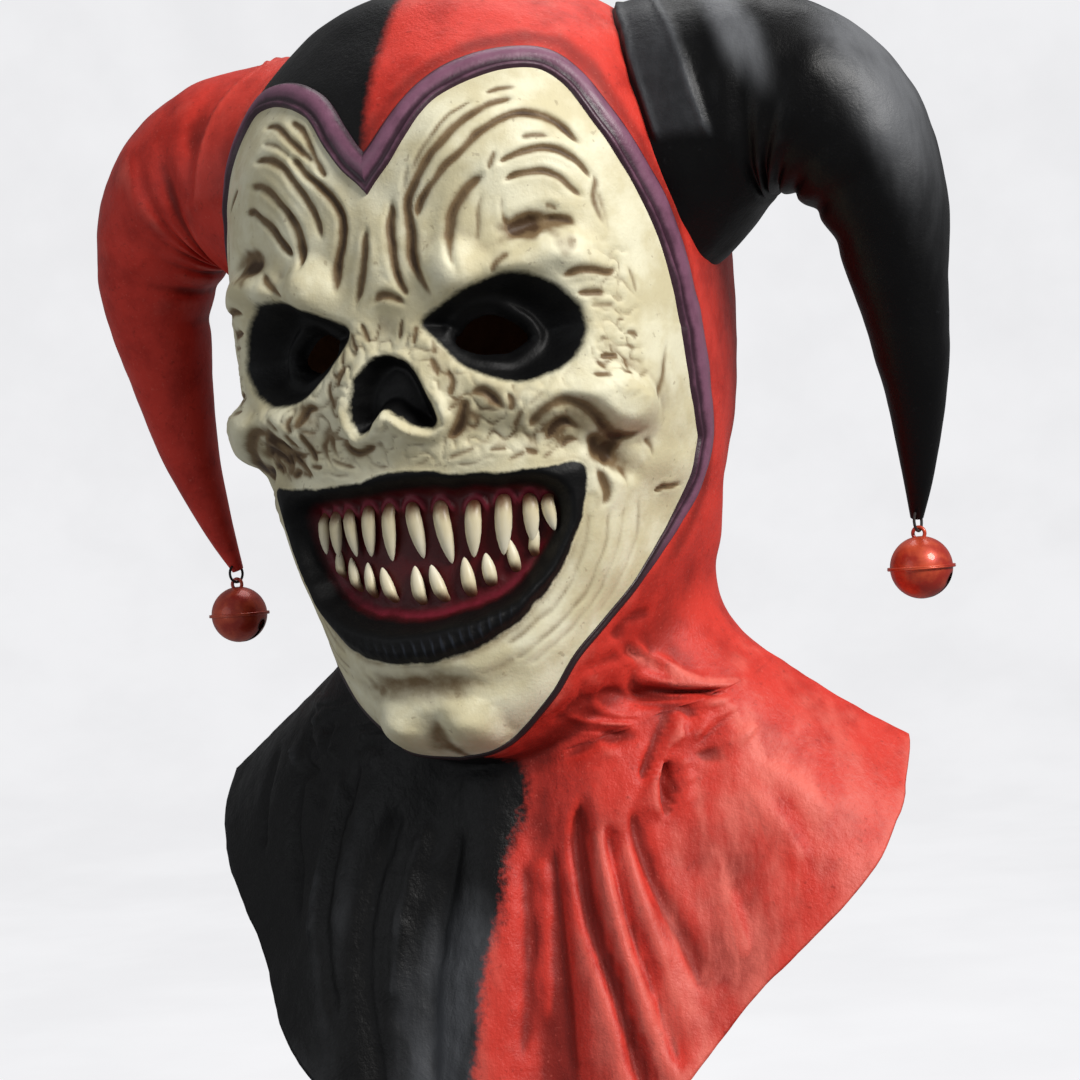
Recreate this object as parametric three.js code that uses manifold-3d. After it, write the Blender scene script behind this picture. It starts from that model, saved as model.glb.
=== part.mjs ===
// Full-head jester mask of cast latex, held as it is worn. Hood, skull face, teeth, raised trim and shoulder
// collar are one hollow casting. Two hollow horns are glued to the hood, with a bell each on a thread loop.
// Millimetres, +Z up, the face looks towards -Y, the origin is inside the top of the crown.
import * as THREE from "three";
import { mergeVertices } from "three/addons/utils/BufferGeometryUtils.js";
import Module from "manifold-3d";

// Driving sizes
const WALL = 2.2; // thickness of the cast latex
const SEAT_GAP = 0.3; // glue line, and running clearance of the bells
const COLUMNS = 52; // columns of the casting around the head, closer together at the face
const FRONT_CROWDING = 0.62; // 1 spaces the columns evenly
const JAW_BLEND = 7; // rounding where the jaw meets the neck
const JAW_BACK = 45; // how far the jaw's form closes behind the axis, inside the neck
const COLLAR_TURN = 5; // degrees that the collar sits turned towards the wearer's left
const COLLAR_TUCK = 0.09; // share by which the collar sits closer on the wearer's right shoulder
const COLLAR_ROWS = { turnFrom: 11, turnTo: 14, foldFrom: 11.5, tuckFrom: 12, hem: 15 }; // rows of SECTIONS
const FACE_ROWS = { from: 6, to: 13.6, half: 80 }; // where the wall follows the modelled face
const EYE_HOLE = { x: 48, y: -84, z: -160, long: 37, tall: 21, deep: 50, tilt: 4, outward: 20 };
const MOUTH = { top: -215, bottom: -298, half: 82, curve: 2.6, widest: 1.4 }; // outline of the grin
const LIP = { at: 5, height: 2.5, floorFrom: 7.5, floorTo: 18.5, depth: 10 }; // by distance inside it
const TEETH = { pitch: 6, sides: 5, wide: 10, thick: 8.5, out: 0.6, lean: 0.12, fade: 0.06 };
const TOOTH_SHAPE = { root: 0.5, belly: 0.42, bellyUp: 0.55 }; // shares of a tooth's width and length
const UPPER_TEETH = { count: 12, root: -226, rise: 0, length: 25 };
const LOWER_TEETH = { count: 11, root: -280, rise: 0.75, length: 22 };
const TRIM = { wide: 10, proud: 2.6, sunk: 1.4, crown: 0.6, jawWide: 5, jawFrom: -250, steps: 48 };
const HORN = { sides: 14, steps: 14, solidSteps: 2, ease: 0.11, holeUp: 2.6, hole: 1.5 }; // solid at the end
const LOOP = { wide: 12, tall: 8.6, wire: 0.6, sides: 5, turns: 12 };
const BELL = { radius: 13.7, wall: 1, flange: 1.3, flangeThick: 1.6, sides: 12, rings: 8 };
const BELL_SLOT = { wide: 2.6, end: 2.6, down: 0.42 }; // down is the slot's top below the middle, in radii
const BELL_EYE = { hole: 1.8, wire: 0.9, sunk: 1.2, sides: 5, turns: 10 };

const COLOURS = { bone: 0xcdc4a0, black: 0x131316, red: 0xb5362d, bellRed: 0xa83a22, thread: 0x1c1a1a };

function table(columns, rows) {
  return rows.map((row) => Object.fromEntries(columns.map((name, i) => [name, row[i]])));
}

// Sections of the casting from the crown down to the hem. Half width, reach to the front and to the back are
// measured from the section's centre; frontFall and backFall lower the row there, as the collar hangs.
const SECTIONS = table(
  ["drop", "side", "front", "back", "centre", "square", "frontFall", "backFall"],
  [
    [-WALL, 0, 0, 0, 0, 2.0, 0, 0],
    [3, 38, 37, 42, 0, 2.0, 0, 0],
    [14, 66, 62, 69, 0, 2.0, 0, 0],
    [33, 87, 79, 89, 0, 2.1, 0, 0],
    [52, 97, 93, 100, 0, 2.2, 0, 0],
    [78, 103, 104, 108, 0, 2.35, 0, 0],
    [106, 105, 105, 111, 0, 2.5, 0, 0],
    [150, 104, 101, 109, 0, 2.7, 0, 0],
    [190, 101, 99, 99, 3, 2.7, 0, 0],
    [215, 95, 88, 86, 9, 2.5, 0, 0],
    [240, 86, 66, 73, 19, 2.3, 0, 0],
    [265, 83, 57, 66, 25, 2.1, 4, 2],
    [288, 92, 58, 67, 27, 2.1, 18, 6],
    [308, 116, 68, 75, 28, 2.1, 46, 14],
    [326, 143, 84, 88, 28, 2.1, 96, 32],
    [341, 167, 106, 102, 29, 2.1, 170, 60],
  ],
);
const ROW_PLAN = [0, 1, 2, 3, 4, 5, 6, 8, 10, 12, 13, 15];
const ROWS_PER_SPAN = [1, 1, 2, 1, 2, 3, 9, 7, 6, 5, 5];

// Jaw, a second form in front of the neck: half width and reach forward of the head's axis.
const JAW = table(
  ["drop", "side", "reach", "square"],
  [
    [160, 55, 50, 2.5],
    [188, 82, 80, 2.5],
    [210, 95, 92, 2.6],
    [228, 94, 93, 2.6],
    [247, 90, 93, 2.5],
    [270, 80, 95, 2.4],
    [290, 71, 95, 2.4],
    [308, 62, 90, 2.4],
    [322, 50, 82, 2.3],
    [332, 38, 66, 2.2],
    [339, 20, 36, 2.0],
  ],
);

// Rounded forms of the face on both sides of the midline: place along the skin from the midline, height,
// half sizes, tilt in degrees, and how far each stands out or sinks. Core is the part that stays flat.
const FACE_FORMS = table(
  ["along", "z", "wide", "tall", "tilt", "height", "core"],
  [
    [50, -137, 44, 17, 6, 6, 0],
    [52, -164, 38, 28, 8, -14, 0.35],
    [0, -152, 15, 20, 0, -4, 0],
    [66, -199, 44, 19, 14, 6, 0],
    [98, -192, 30, 34, 0, 7, 0],
    [0, -186, 34, 32, 0, 8, 0.2],
    [10, -189, 14, 16, 0, -11, 0.3],
    [0, -174, 10, 17, 0, -6, 0.2],
    [112, -234, 34, 34, 0, -5, 0],
    [15, -322, 18, 15, 0, 4, 0],
    [0, -306, 40, 10, 0, -3, 0],
  ],
);

// Folds of the collar: place round the neck, half width in degrees, and height at the hem.
const COLLAR_FOLDS = table(
  ["angle", "spread", "height"],
  [
    [-150, 16, 5],
    [-118, 12, -5],
    [-88, 12, 5],
    [-62, 9, -6],
    [-44, 10, 6],
    [-22, 9, -6],
    [-4, 9, 5],
    [16, 8, -8],
    [33, 11, 7],
    [54, 10, -6],
    [74, 12, 5],
    [104, 14, -5],
    [134, 15, 5],
    [165, 13, -5],
  ],
);

// Course of the raised trim on one side, by angle round the head from the front.
const TRIM_COURSE = table(
  ["angle", "z"],
  [
    [0, -93],
    [8, -80],
    [18, -62],
    [29, -51],
    [39, -48],
    [48, -54],
    [56, -70],
    [65, -99],
    [72, -134],
    [79, -175],
    [83, -200],
    [81, -220],
    [72, -240],
    [54, -264],
    [41, -282],
    [33, -296],
    [26, -311],
    [17, -325],
    [0, -334],
  ],
);

// Centre line of the wearer's left horn with its radius upwards and its radius front to back.
const HORN_LINE = table(
  ["x", "y", "z", "up", "deep"],
  [
    [40, 10, -92, 64, 52],
    [88, 8, -75, 59, 50],
    [132, 8, -65, 46, 44],
    [163, 11, -80, 37, 36],
    [180, 17, -112, 27.5, 27],
    [182, 26, -150, 20.5, 20],
    [182, 38, -190, 14, 14],
    [177, 50, -226, 7.5, 7.5],
    [172.5, 58, -248, 2.8, 2.8],
  ],
);

const wasm = await Module();
wasm.setup();
const radians = THREE.MathUtils.degToRad;
const smoothstep = THREE.MathUtils.smoothstep;

// Smooth value of one column of a table at a fractional row number.
function valueAt(rows, name, place) {
  const last = rows.length - 1;
  const i = THREE.MathUtils.clamp(Math.floor(place), 0, last - 1);
  const value = (k) => rows[THREE.MathUtils.clamp(k, 0, last)][name];
  const [before, from, to, after] = [value(i - 1), value(i), value(i + 1), value(i + 2)];
  const u = place - i;
  const cubic = 3 * (from - to) + after - before;
  const square = 2 * before - 5 * from + 4 * to - after;
  return from + 0.5 * u * (to - before + u * (square + u * cubic));
}

// Fractional row number at which a rising column reaches a value.
function placeOf(rows, name, value) {
  let low = 0;
  let high = rows.length - 1;
  for (let step = 0; step < 30; step += 1) {
    const middle = (low + high) / 2;
    if (valueAt(rows, name, middle) < value) low = middle;
    else high = middle;
  }
  return low;
}

function ovalRadius(angle, side, reach, square) {
  const across = Math.abs(Math.sin(angle) / side) ** square;
  const along = Math.abs(Math.cos(angle) / reach) ** square;
  return (across + along) ** (-1 / square);
}

function jawRadius(angle, z, centre) {
  if (-z < JAW[0].drop || -z > JAW[JAW.length - 1].drop) return 0;
  const place = placeOf(JAW, "drop", -z);
  const reach = Math.cos(angle) > 0 ? valueAt(JAW, "reach", place) + centre : JAW_BACK;
  return ovalRadius(angle, valueAt(JAW, "side", place), reach, valueAt(JAW, "square", place));
}

function foldHeight(angle, place) {
  const ramp = smoothstep(place, COLLAR_ROWS.foldFrom, COLLAR_ROWS.hem);
  let height = 0;
  for (const fold of COLLAR_FOLDS) {
    const away = (THREE.MathUtils.radToDeg(angle) - fold.angle - COLLAR_TURN) / fold.spread;
    height += fold.height * Math.exp(-away * away);
  }
  return height * ramp;
}

// Bare form of the casting, grown outwards by a small amount, before the face is modelled on it.
function formPoint(angle, place, grow = 0) {
  const hang = angle - radians(COLLAR_TURN) * smoothstep(place, COLLAR_ROWS.turnFrom, COLLAR_ROWS.turnTo);
  const front = Math.max(Math.cos(hang), 0);
  const back = Math.max(-Math.cos(hang), 0);
  const drop = valueAt(SECTIONS, "drop", place);
  const fall = valueAt(SECTIONS, "frontFall", place) * front + valueAt(SECTIONS, "backFall", place) * back;
  const z = -(drop + fall);
  const centre = valueAt(SECTIONS, "centre", place);
  const reach = valueAt(SECTIONS, Math.cos(hang) > 0 ? "front" : "back", place);
  const tuckRamp = smoothstep(place, COLLAR_ROWS.tuckFrom, COLLAR_ROWS.hem);
  const tuck = COLLAR_TUCK * tuckRamp * Math.max(-Math.sin(angle), 0);
  const side = valueAt(SECTIONS, "side", place) * (1 - tuck);
  let radius = 0;
  if (side > 0) {
    const bare = ovalRadius(hang, side, reach, valueAt(SECTIONS, "square", place)) + foldHeight(angle, place);
    const gap = bare - jawRadius(angle, z, centre);
    radius = bare + (Math.hypot(gap, JAW_BLEND) - gap) / 2;
  }
  radius += grow;
  const lift = place === 0 ? grow : 0;
  return new THREE.Vector3(radius * Math.sin(angle), centre - radius * Math.cos(angle), z + lift);
}

function faceForm(form, along, z) {
  const turn = radians(form.tilt);
  const dx = Math.abs(along) - form.along;
  const dz = z - form.z;
  const wide = (dx * Math.cos(turn) + dz * Math.sin(turn)) / form.wide;
  const tall = (dz * Math.cos(turn) - dx * Math.sin(turn)) / form.tall;
  return form.height * (1 - smoothstep(Math.hypot(wide, tall), form.core, 1));
}

// Distance inside the edge of the grin, from the straight upper lip to the deep curve of the lower lip.
function insideMouth(along, z) {
  const sweep = Math.min(Math.abs(along) / MOUTH.half, MOUTH.widest);
  const low = MOUTH.bottom + (MOUTH.top - MOUTH.bottom) * sweep ** MOUTH.curve;
  return Math.min(MOUTH.top - z, z - low);
}

function faceHeight(along, z) {
  let height = 0;
  for (const form of FACE_FORMS) height += faceForm(form, along, z);
  const inside = insideMouth(along, z);
  const lip = LIP.height * Math.exp(-(((inside - LIP.at) / LIP.at) ** 2));
  return height + lip - LIP.depth * smoothstep(inside, LIP.floorFrom, LIP.floorTo);
}

function columnAngle(column) {
  const u = (2 * column) / COLUMNS - 1;
  return Math.PI * (FRONT_CROWDING * u + (1 - FRONT_CROWDING) * u ** 3);
}

function rowPlaces() {
  const places = [0];
  ROWS_PER_SPAN.forEach((count, span) => {
    const [from, to] = [ROW_PLAN[span], ROW_PLAN[span + 1]];
    for (let k = 1; k <= count; k += 1) places.push(from + ((to - from) * k) / count);
  });
  return places;
}

// Rows of the casting: the bare form, and the height that the face is raised or sunk at each point of it.
function castingRows() {
  const middle = COLUMNS / 2;
  return rowPlaces().map((place) => {
    const row = [];
    for (let column = 0; column < COLUMNS; column += 1) {
      const angle = columnAngle(column);
      const out = new THREE.Vector3(Math.sin(angle), -Math.cos(angle), 0);
      row.push({ place, angle, out, bare: formPoint(angle, place), height: 0 });
    }
    for (const way of [-1, 1]) {
      let along = 0;
      let last = row[middle].bare;
      for (let k = 0; k < middle; k += 1) {
        const point = row[middle + way * k];
        along += point.bare.distanceTo(last);
        last = point.bare;
        point.height = faceHeight(along, point.bare.z);
      }
    }
    return row;
  });
}

function outerPoint(point) {
  return point.bare.clone().addScaledVector(point.out, point.height);
}

// Inner point behind a point of the casting: set in by the wall along the bare form's normal, and never
// closer than the wall to the deepest of its neighbours in the modelled face.
function innerPoint(rows, row, column) {
  const near = (r, c) => rows[THREE.MathUtils.clamp(r, 1, rows.length - 1)][(c + COLUMNS) % COLUMNS];
  const point = rows[row][column];
  const across = near(row, column + 1).bare.clone().sub(near(row, column - 1).bare);
  const upwards = near(row - 1, column).bare.clone().sub(near(row + 1, column).bare);
  const inside = point.bare.clone().addScaledVector(across.cross(upwards).normalize(), -WALL);
  const centre = valueAt(SECTIONS, "centre", point.place);
  let reach = Math.hypot(inside.x, inside.y - centre);
  const inFaceRows = point.place > FACE_ROWS.from && point.place < FACE_ROWS.to;
  if (inFaceRows && Math.abs(point.angle) < radians(FACE_ROWS.half)) {
    for (const r of [row - 1, row, row + 1]) {
      for (const c of [column - 1, column, column + 1]) {
        const skin = outerPoint(near(r, c));
        reach = Math.min(reach, Math.hypot(skin.x, skin.y - centre) - WALL);
      }
    }
  }
  return new THREE.Vector3(reach * point.out.x, centre + reach * point.out.y, inside.z);
}

function geometryOf(vertices, triangles) {
  const geometry = new THREE.BufferGeometry().setFromPoints(vertices);
  geometry.setIndex(triangles.flat());
  return geometry;
}

function solidOf(geometry) {
  const bare = geometry.clone();
  bare.deleteAttribute("normal");
  bare.deleteAttribute("uv");
  const merged = mergeVertices(bare, 1e-4);
  const vertProperties = new Float32Array(merged.attributes.position.array);
  const triVerts = new Uint32Array(merged.index.array);
  return new wasm.Manifold(new wasm.Mesh({ numProp: 3, vertProperties, triVerts }));
}

function placedSolid(geometry, matrix) {
  return solidOf(geometry.clone().applyMatrix4(matrix));
}

function geometryFrom(solid) {
  const mesh = solid.getMesh();
  const geometry = new THREE.BufferGeometry();
  const positions = [];
  for (let i = 0; i < mesh.vertProperties.length; i += mesh.numProp) {
    positions.push(mesh.vertProperties[i], mesh.vertProperties[i + 1], mesh.vertProperties[i + 2]);
  }
  geometry.setAttribute("position", new THREE.Float32BufferAttribute(positions, 3));
  geometry.setIndex(Array.from(mesh.triVerts));
  geometry.computeVertexNormals();
  return geometry;
}

// The same geometry for the other side of the mask.
function mirrored(geometry) {
  const copy = mergeVertices(geometry).applyMatrix4(new THREE.Matrix4().makeScale(-1, 1, 1));
  const ids = Array.from(copy.index.array);
  for (let i = 0; i < ids.length; i += 3) [ids[i], ids[i + 1]] = [ids[i + 1], ids[i]];
  copy.setIndex(ids);
  copy.computeVertexNormals();
  return copy;
}

// Triangles between rings of points around the head, from one crown point down.
function ringTriangles(rowCount, ring, first, flip) {
  const id = (row, column) => first + (row === 0 ? 0 : 1 + (row - 1) * ring + (column % ring));
  const triangles = [];
  for (let column = 0; column < ring; column += 1) {
    triangles.push([id(0, 0), id(1, column), id(1, column + 1)]);
    for (let row = 1; row < rowCount - 1; row += 1) {
      triangles.push([id(row, column), id(row + 1, column), id(row + 1, column + 1)]);
      triangles.push([id(row, column), id(row + 1, column + 1), id(row, column + 1)]);
    }
  }
  return flip ? triangles.map(([a, b, c]) => [a, c, b]) : triangles;
}

// Filled form of the casting, grown a little, that the horns' bases are fitted to.
function filledForm(rows, grow) {
  const grown = rows.map((row) => row.map((point) => formPoint(point.angle, point.place, grow)));
  const vertices = [grown[0][0], ...grown.slice(1).flat()];
  const triangles = ringTriangles(rows.length, COLUMNS, 0, false);
  const hem = grown[rows.length - 1];
  vertices.push(hem.reduce((sum, point) => sum.add(point), new THREE.Vector3()).divideScalar(COLUMNS));
  const start = vertices.length - 1 - COLUMNS;
  for (let column = 0; column < COLUMNS; column += 1) {
    triangles.push([vertices.length - 1, start + ((column + 1) % COLUMNS), start + column]);
  }
  return solidOf(geometryOf(vertices, triangles));
}

// Hollow casting: the outer skin, an inner skin on every second row and column, and the rim at the hem.
function hollowCasting(rows) {
  const half = COLUMNS / 2;
  const vertices = [rows[0][0].bare, ...rows.slice(1).flat().map(outerPoint)];
  const triangles = ringTriangles(rows.length, COLUMNS, 0, false);
  const outerHem = vertices.length - COLUMNS;
  const innerFirst = vertices.length;
  vertices.push(new THREE.Vector3(0, 0, 0));
  for (let row = 2; row < rows.length; row += 2) {
    for (let column = 0; column < COLUMNS; column += 2) vertices.push(innerPoint(rows, row, column));
  }
  const innerRows = (rows.length + 1) / 2;
  triangles.push(...ringTriangles(innerRows, half, innerFirst, true));
  const innerHem = vertices.length - half;
  for (let column = 0; column < half; column += 1) {
    const [here, between, next] = [0, 1, 2].map((k) => outerHem + ((2 * column + k) % COLUMNS));
    const [inHere, inNext] = [innerHem + column, innerHem + ((column + 1) % half)];
    triangles.push([here, inHere, between], [between, inHere, inNext], [between, inNext, next]);
  }
  return geometryOf(vertices, triangles);
}

const NORMAL_SPAN = { turn: 0.06, rise: 5 }; // half span of a normal, in radians and in height

// Point of the finished skin at an angle and a height, found on the rows that the casting is made of.
function skinPoint(rows, angle, z) {
  let column = 0;
  while (column < COLUMNS - 1 && columnAngle(column + 1) <= angle) column += 1;
  const u = (angle - columnAngle(column)) / (columnAngle(column + 1) - columnAngle(column));
  const next = (column + 1) % COLUMNS;
  const mixed = (row) => outerPoint(rows[row][column]).lerp(outerPoint(rows[row][next]), u);
  let row = 1;
  while (row < rows.length - 2 && mixed(row + 1).z > z) row += 1;
  const [above, below] = [mixed(row), mixed(row + 1)];
  return above.clone().lerp(below, THREE.MathUtils.clamp((above.z - z) / (above.z - below.z), 0, 1));
}

function skinNormal(rows, angle, z) {
  const { turn, rise } = NORMAL_SPAN;
  const across = skinPoint(rows, angle + turn, z).sub(skinPoint(rows, angle - turn, z));
  const upwards = skinPoint(rows, angle, z + rise).sub(skinPoint(rows, angle, z - rise));
  return across.cross(upwards).normalize();
}

// Almond cut right through the wall of an eye socket, turned outwards a little.
function eyeCutter(side) {
  const { long, tall, deep } = EYE_HOLE;
  const shape = new THREE.Shape();
  shape.moveTo(-long / 2, 0);
  shape.quadraticCurveTo(-long / 6, tall, long / 2, 0);
  shape.quadraticCurveTo(long / 6, -tall, -long / 2, 0);
  const geometry = new THREE.ExtrudeGeometry(shape, { depth: deep, bevelEnabled: false, curveSegments: 6 });
  geometry.translate(0, 0, -deep / 2).rotateZ(radians(EYE_HOLE.tilt)).rotateX(Math.PI / 2);
  geometry.rotateZ(radians(EYE_HOLE.outward)).translate(EYE_HOLE.x, EYE_HOLE.y, EYE_HOLE.z);
  return solidOf(side > 0 ? geometry : mirrored(geometry));
}

// Pointed tooth: a flattened cone on the floor of the mouth, its root sunk in the gum.
function tooth(rows, angle, root, length, way) {
  const { root: rootHalf, belly, bellyUp } = TOOTH_SHAPE;
  const profile = [[0, 0], [rootHalf, 0], [belly, bellyUp], [0, 1]].map(([r, h]) => new THREE.Vector2(r, h));
  const geometry = new THREE.LatheGeometry(profile, TEETH.sides);
  geometry.scale(TEETH.wide, length, TEETH.thick);
  const out = skinNormal(rows, angle, root).setZ(0).normalize();
  const up = new THREE.Vector3(0, 0, way).addScaledVector(out, TEETH.lean).normalize();
  const right = up.clone().cross(out).normalize();
  const origin = skinPoint(rows, angle, root).addScaledVector(out, TEETH.out);
  const place = new THREE.Matrix4().makeBasis(right, up, right.clone().cross(up)).setPosition(origin);
  return placedSolid(geometry, place);
}

function teeth(rows) {
  const solids = [];
  for (const [set, way] of [[UPPER_TEETH, -1], [LOWER_TEETH, 1]]) {
    for (let k = 0; k < set.count; k += 1) {
      const place = k - (set.count - 1) / 2;
      const length = set.length * (1 - TEETH.fade * Math.abs(place));
      const root = set.root + set.rise * place * place;
      solids.push(tooth(rows, radians(TEETH.pitch * place), root, length, way));
    }
  }
  return solids;
}

// Raised trim round the face: a low rounded band that follows the skin, narrower along the jaw.
function trimBand(rows) {
  const oneSide = TRIM_COURSE.map((stop) => new THREE.Vector2(stop.angle, stop.z));
  const otherSide = oneSide.slice(1, -1).reverse().map((stop) => new THREE.Vector2(-stop.x, stop.y));
  const course = new THREE.CatmullRomCurve3(
    [...oneSide, ...otherSide].map((stop) => new THREE.Vector3(stop.x, stop.y, 0)), true, "centripetal");
  const vertices = [];
  const triangles = [];
  const crown = TRIM.crown / 2;
  const section = [[-0.5, -1], [-crown, 1], [crown, 1], [0.5, -1]];
  for (let step = 0; step < TRIM.steps; step += 1) {
    const at = (u) => {
      const stop = course.getPointAt((u + 1) % 1);
      return [radians(stop.x), stop.y];
    };
    const [angle, z] = at(step / TRIM.steps);
    const here = skinPoint(rows, angle, z);
    const ahead = skinPoint(rows, ...at((step + 0.5) / TRIM.steps));
    const behind = skinPoint(rows, ...at((step - 0.5) / TRIM.steps));
    const out = skinNormal(rows, angle, z);
    const across = out.clone().cross(ahead.sub(behind)).normalize();
    const wide = z < TRIM.jawFrom ? TRIM.jawWide : TRIM.wide;
    for (const [sideways, height] of section) {
      const rise = height > 0 ? height * TRIM.proud : height * TRIM.sunk;
      vertices.push(here.clone().addScaledVector(across, sideways * wide).addScaledVector(out, rise));
    }
  }
  const sides = section.length;
  const id = (step, side) => (step % TRIM.steps) * sides + (side % sides);
  for (let step = 0; step < TRIM.steps; step += 1) {
    for (let side = 0; side < sides; side += 1) {
      triangles.push([id(step, side), id(step + 1, side + 1), id(step, side + 1)]);
      triangles.push([id(step, side), id(step + 1, side), id(step + 1, side + 1)]);
    }
  }
  return solidOf(geometryOf(vertices, triangles));
}

function mesh(name, geometry, colour, roughness, metalness = 0) {
  const material = new THREE.MeshStandardMaterial({ color: colour, roughness, metalness });
  const piece = new THREE.Mesh(geometry, material);
  piece.name = name;
  return piece;
}

// Tube with oval sections along a table of stations, closed at both ends; inset draws it in by a wall.
function hornTube(steps, inset) {
  const line = new THREE.CatmullRomCurve3(HORN_LINE.map((row) => new THREE.Vector3(row.x, row.y, row.z)));
  const vertices = [];
  for (let step = 0; step <= steps; step += 1) {
    const t = step / HORN.steps;
    const place = t * (HORN_LINE.length - 1);
    const centre = line.getPoint(t);
    const ahead = line.getPoint(Math.min(t + HORN.ease, 1));
    const tangent = ahead.sub(line.getPoint(Math.max(t - HORN.ease, 0))).normalize();
    const deepWay = new THREE.Vector3(0, 1, 0).addScaledVector(tangent, -tangent.y).normalize();
    const upWay = deepWay.clone().cross(tangent).normalize();
    const up = valueAt(HORN_LINE, "up", place) - inset;
    const deep = valueAt(HORN_LINE, "deep", place) - inset;
    for (let side = 0; side < HORN.sides; side += 1) {
      const turn = (2 * Math.PI * side) / HORN.sides;
      const point = centre.clone().addScaledVector(upWay, up * Math.cos(turn));
      vertices.push(point.addScaledVector(deepWay, deep * Math.sin(turn)));
    }
  }
  const id = (step, side) => step * HORN.sides + (side % HORN.sides);
  const triangles = [];
  for (let side = 0; side < HORN.sides; side += 1) {
    for (let step = 0; step < steps; step += 1) {
      triangles.push([id(step, side), id(step, side + 1), id(step + 1, side + 1)]);
      triangles.push([id(step, side), id(step + 1, side + 1), id(step + 1, side)]);
    }
  }
  for (const step of [0, steps]) {
    vertices.push(line.getPoint(step / HORN.steps));
    for (let side = 0; side < HORN.sides; side += 1) {
      const fan = [vertices.length - 1, id(step, side), id(step, side + 1)];
      triangles.push(step === 0 ? [fan[0], fan[2], fan[1]] : fan);
    }
  }
  return solidOf(geometryOf(vertices, triangles));
}

// Sideways hole through the solid tip of a horn, where the thread passes.
function tipHole() {
  const base = HORN_LINE[0];
  const geometry = new THREE.CylinderGeometry(HORN.hole, HORN.hole, base.deep, HORN.sides);
  return placedSolid(geometry, new THREE.Matrix4().setPosition(hangPoint()));
}

// Middle of the thread's hole, on the horn's centre line a little above its end.
function hangPoint() {
  const [above, tip] = HORN_LINE.slice(-2).map((row) => new THREE.Vector3(row.x, row.y, row.z));
  return tip.clone().lerp(above, HORN.holeUp / (above.z - tip.z));
}

// Thread loop through the horn's tip and the bell's eye, upright and seen edge-on from the side.
function threadLoop() {
  const geometry = new THREE.TorusGeometry(LOOP.wide / 2, LOOP.wire, LOOP.sides, LOOP.turns);
  geometry.rotateY(Math.PI / 2);
  geometry.scale(1, 1, LOOP.tall / LOOP.wide);
  const middle = hangPoint().setZ(hangPoint().z - LOOP.tall / 2);
  return placedSolid(geometry, new THREE.Matrix4().setPosition(middle));
}

// Two-part jingle bell: hollow ball with a crimped flange, a slot across the lower half and an eye on top.
function bell() {
  const wire = (LOOP.wire * LOOP.tall) / LOOP.wide;
  const eyeZ = hangPoint().z - LOOP.tall + wire + SEAT_GAP - BELL_EYE.hole;
  const centreZ = eyeZ - BELL_EYE.sunk - BELL.radius;
  const profile = [];
  const ringHalf = BELL.flangeThick / 2;
  for (let k = 0; k <= BELL.rings; k += 1) {
    const lean = (Math.PI * k) / BELL.rings - Math.PI / 2;
    const [reach, height] = [BELL.radius * Math.cos(lean), BELL.radius * Math.sin(lean)];
    if (k === BELL.rings / 2) {
      const rim = reach + BELL.flange;
      profile.push([reach, -ringHalf], [rim, -ringHalf / 2], [rim, ringHalf / 2], [reach, ringHalf]);
    } else {
      profile.push([k % BELL.rings === 0 ? 0 : reach, height]);
    }
  }
  const upright = new THREE.Matrix4().makeRotationX(Math.PI / 2);
  const hollow = new THREE.SphereGeometry(BELL.radius - BELL.wall, BELL.sides, BELL.rings);
  const slot = new THREE.BoxGeometry(3 * BELL.radius, BELL_SLOT.wide, BELL.radius);
  const slotEnd = new THREE.CylinderGeometry(BELL_SLOT.end, BELL_SLOT.end, 3 * BELL.radius, BELL.rings);
  slotEnd.rotateZ(Math.PI / 2);
  const slotTop = -BELL.radius * BELL_SLOT.down;
  const { hole, wire: eyeWire, sides, turns } = BELL_EYE;
  const eye = new THREE.TorusGeometry(hole + eyeWire, eyeWire, sides, turns);
  const ball = new THREE.LatheGeometry(profile.map(([r, h]) => new THREE.Vector2(r, h)), BELL.sides);
  const placed = new THREE.Matrix4().makeTranslation(hangPoint().x, hangPoint().y, centreZ);
  const eyePlace = new THREE.Matrix4().makeTranslation(hangPoint().x, hangPoint().y, eyeZ).multiply(upright);
  const lower = new THREE.Matrix4().makeTranslation(0, 0, slotTop - BELL.radius / 2);
  const ends = new THREE.Matrix4().makeTranslation(0, 0, slotTop);
  return placedSolid(ball, placed.clone().multiply(upright))
    .add(placedSolid(eye, eyePlace))
    .subtract(placedSolid(hollow, placed))
    .subtract(placedSolid(slot, placed.clone().multiply(lower)))
    .subtract(placedSolid(slotEnd, placed.clone().multiply(ends)));
}

const rows = castingRows();
let casting = solidOf(hollowCasting(rows)).add(trimBand(rows));
for (const solid of teeth(rows)) casting = casting.add(solid);
for (const side of [-1, 1]) casting = casting.subtract(eyeCutter(side));

const horn = hornTube(HORN.steps, 0)
  .subtract(hornTube(HORN.steps - HORN.solidSteps, WALL))
  .subtract(filledForm(rows, SEAT_GAP))
  .subtract(tipHole());

const mask = new THREE.Group();
mask.add(mesh("mask_shell", geometryFrom(casting), COLOURS.bone, 0.55));
const SIDES = [
  { name: "left", side: 1, colour: COLOURS.black },
  { name: "right", side: -1, colour: COLOURS.red },
];
for (const { name, side, colour } of SIDES) {
  const sided = (solid) => (side > 0 ? geometryFrom(solid) : mirrored(geometryFrom(solid)));
  mask.add(mesh(`horn_${name}`, sided(horn), colour, 0.5));
  mask.add(mesh(`bell_loop_${name}`, sided(threadLoop()), COLOURS.thread, 0.8));
  mask.add(mesh(`bell_${name}`, sided(bell()), COLOURS.bellRed, 0.35, 0.6));
}

export default mask;
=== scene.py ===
import math

import bpy
import numpy as np
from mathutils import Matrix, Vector, noise


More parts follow.
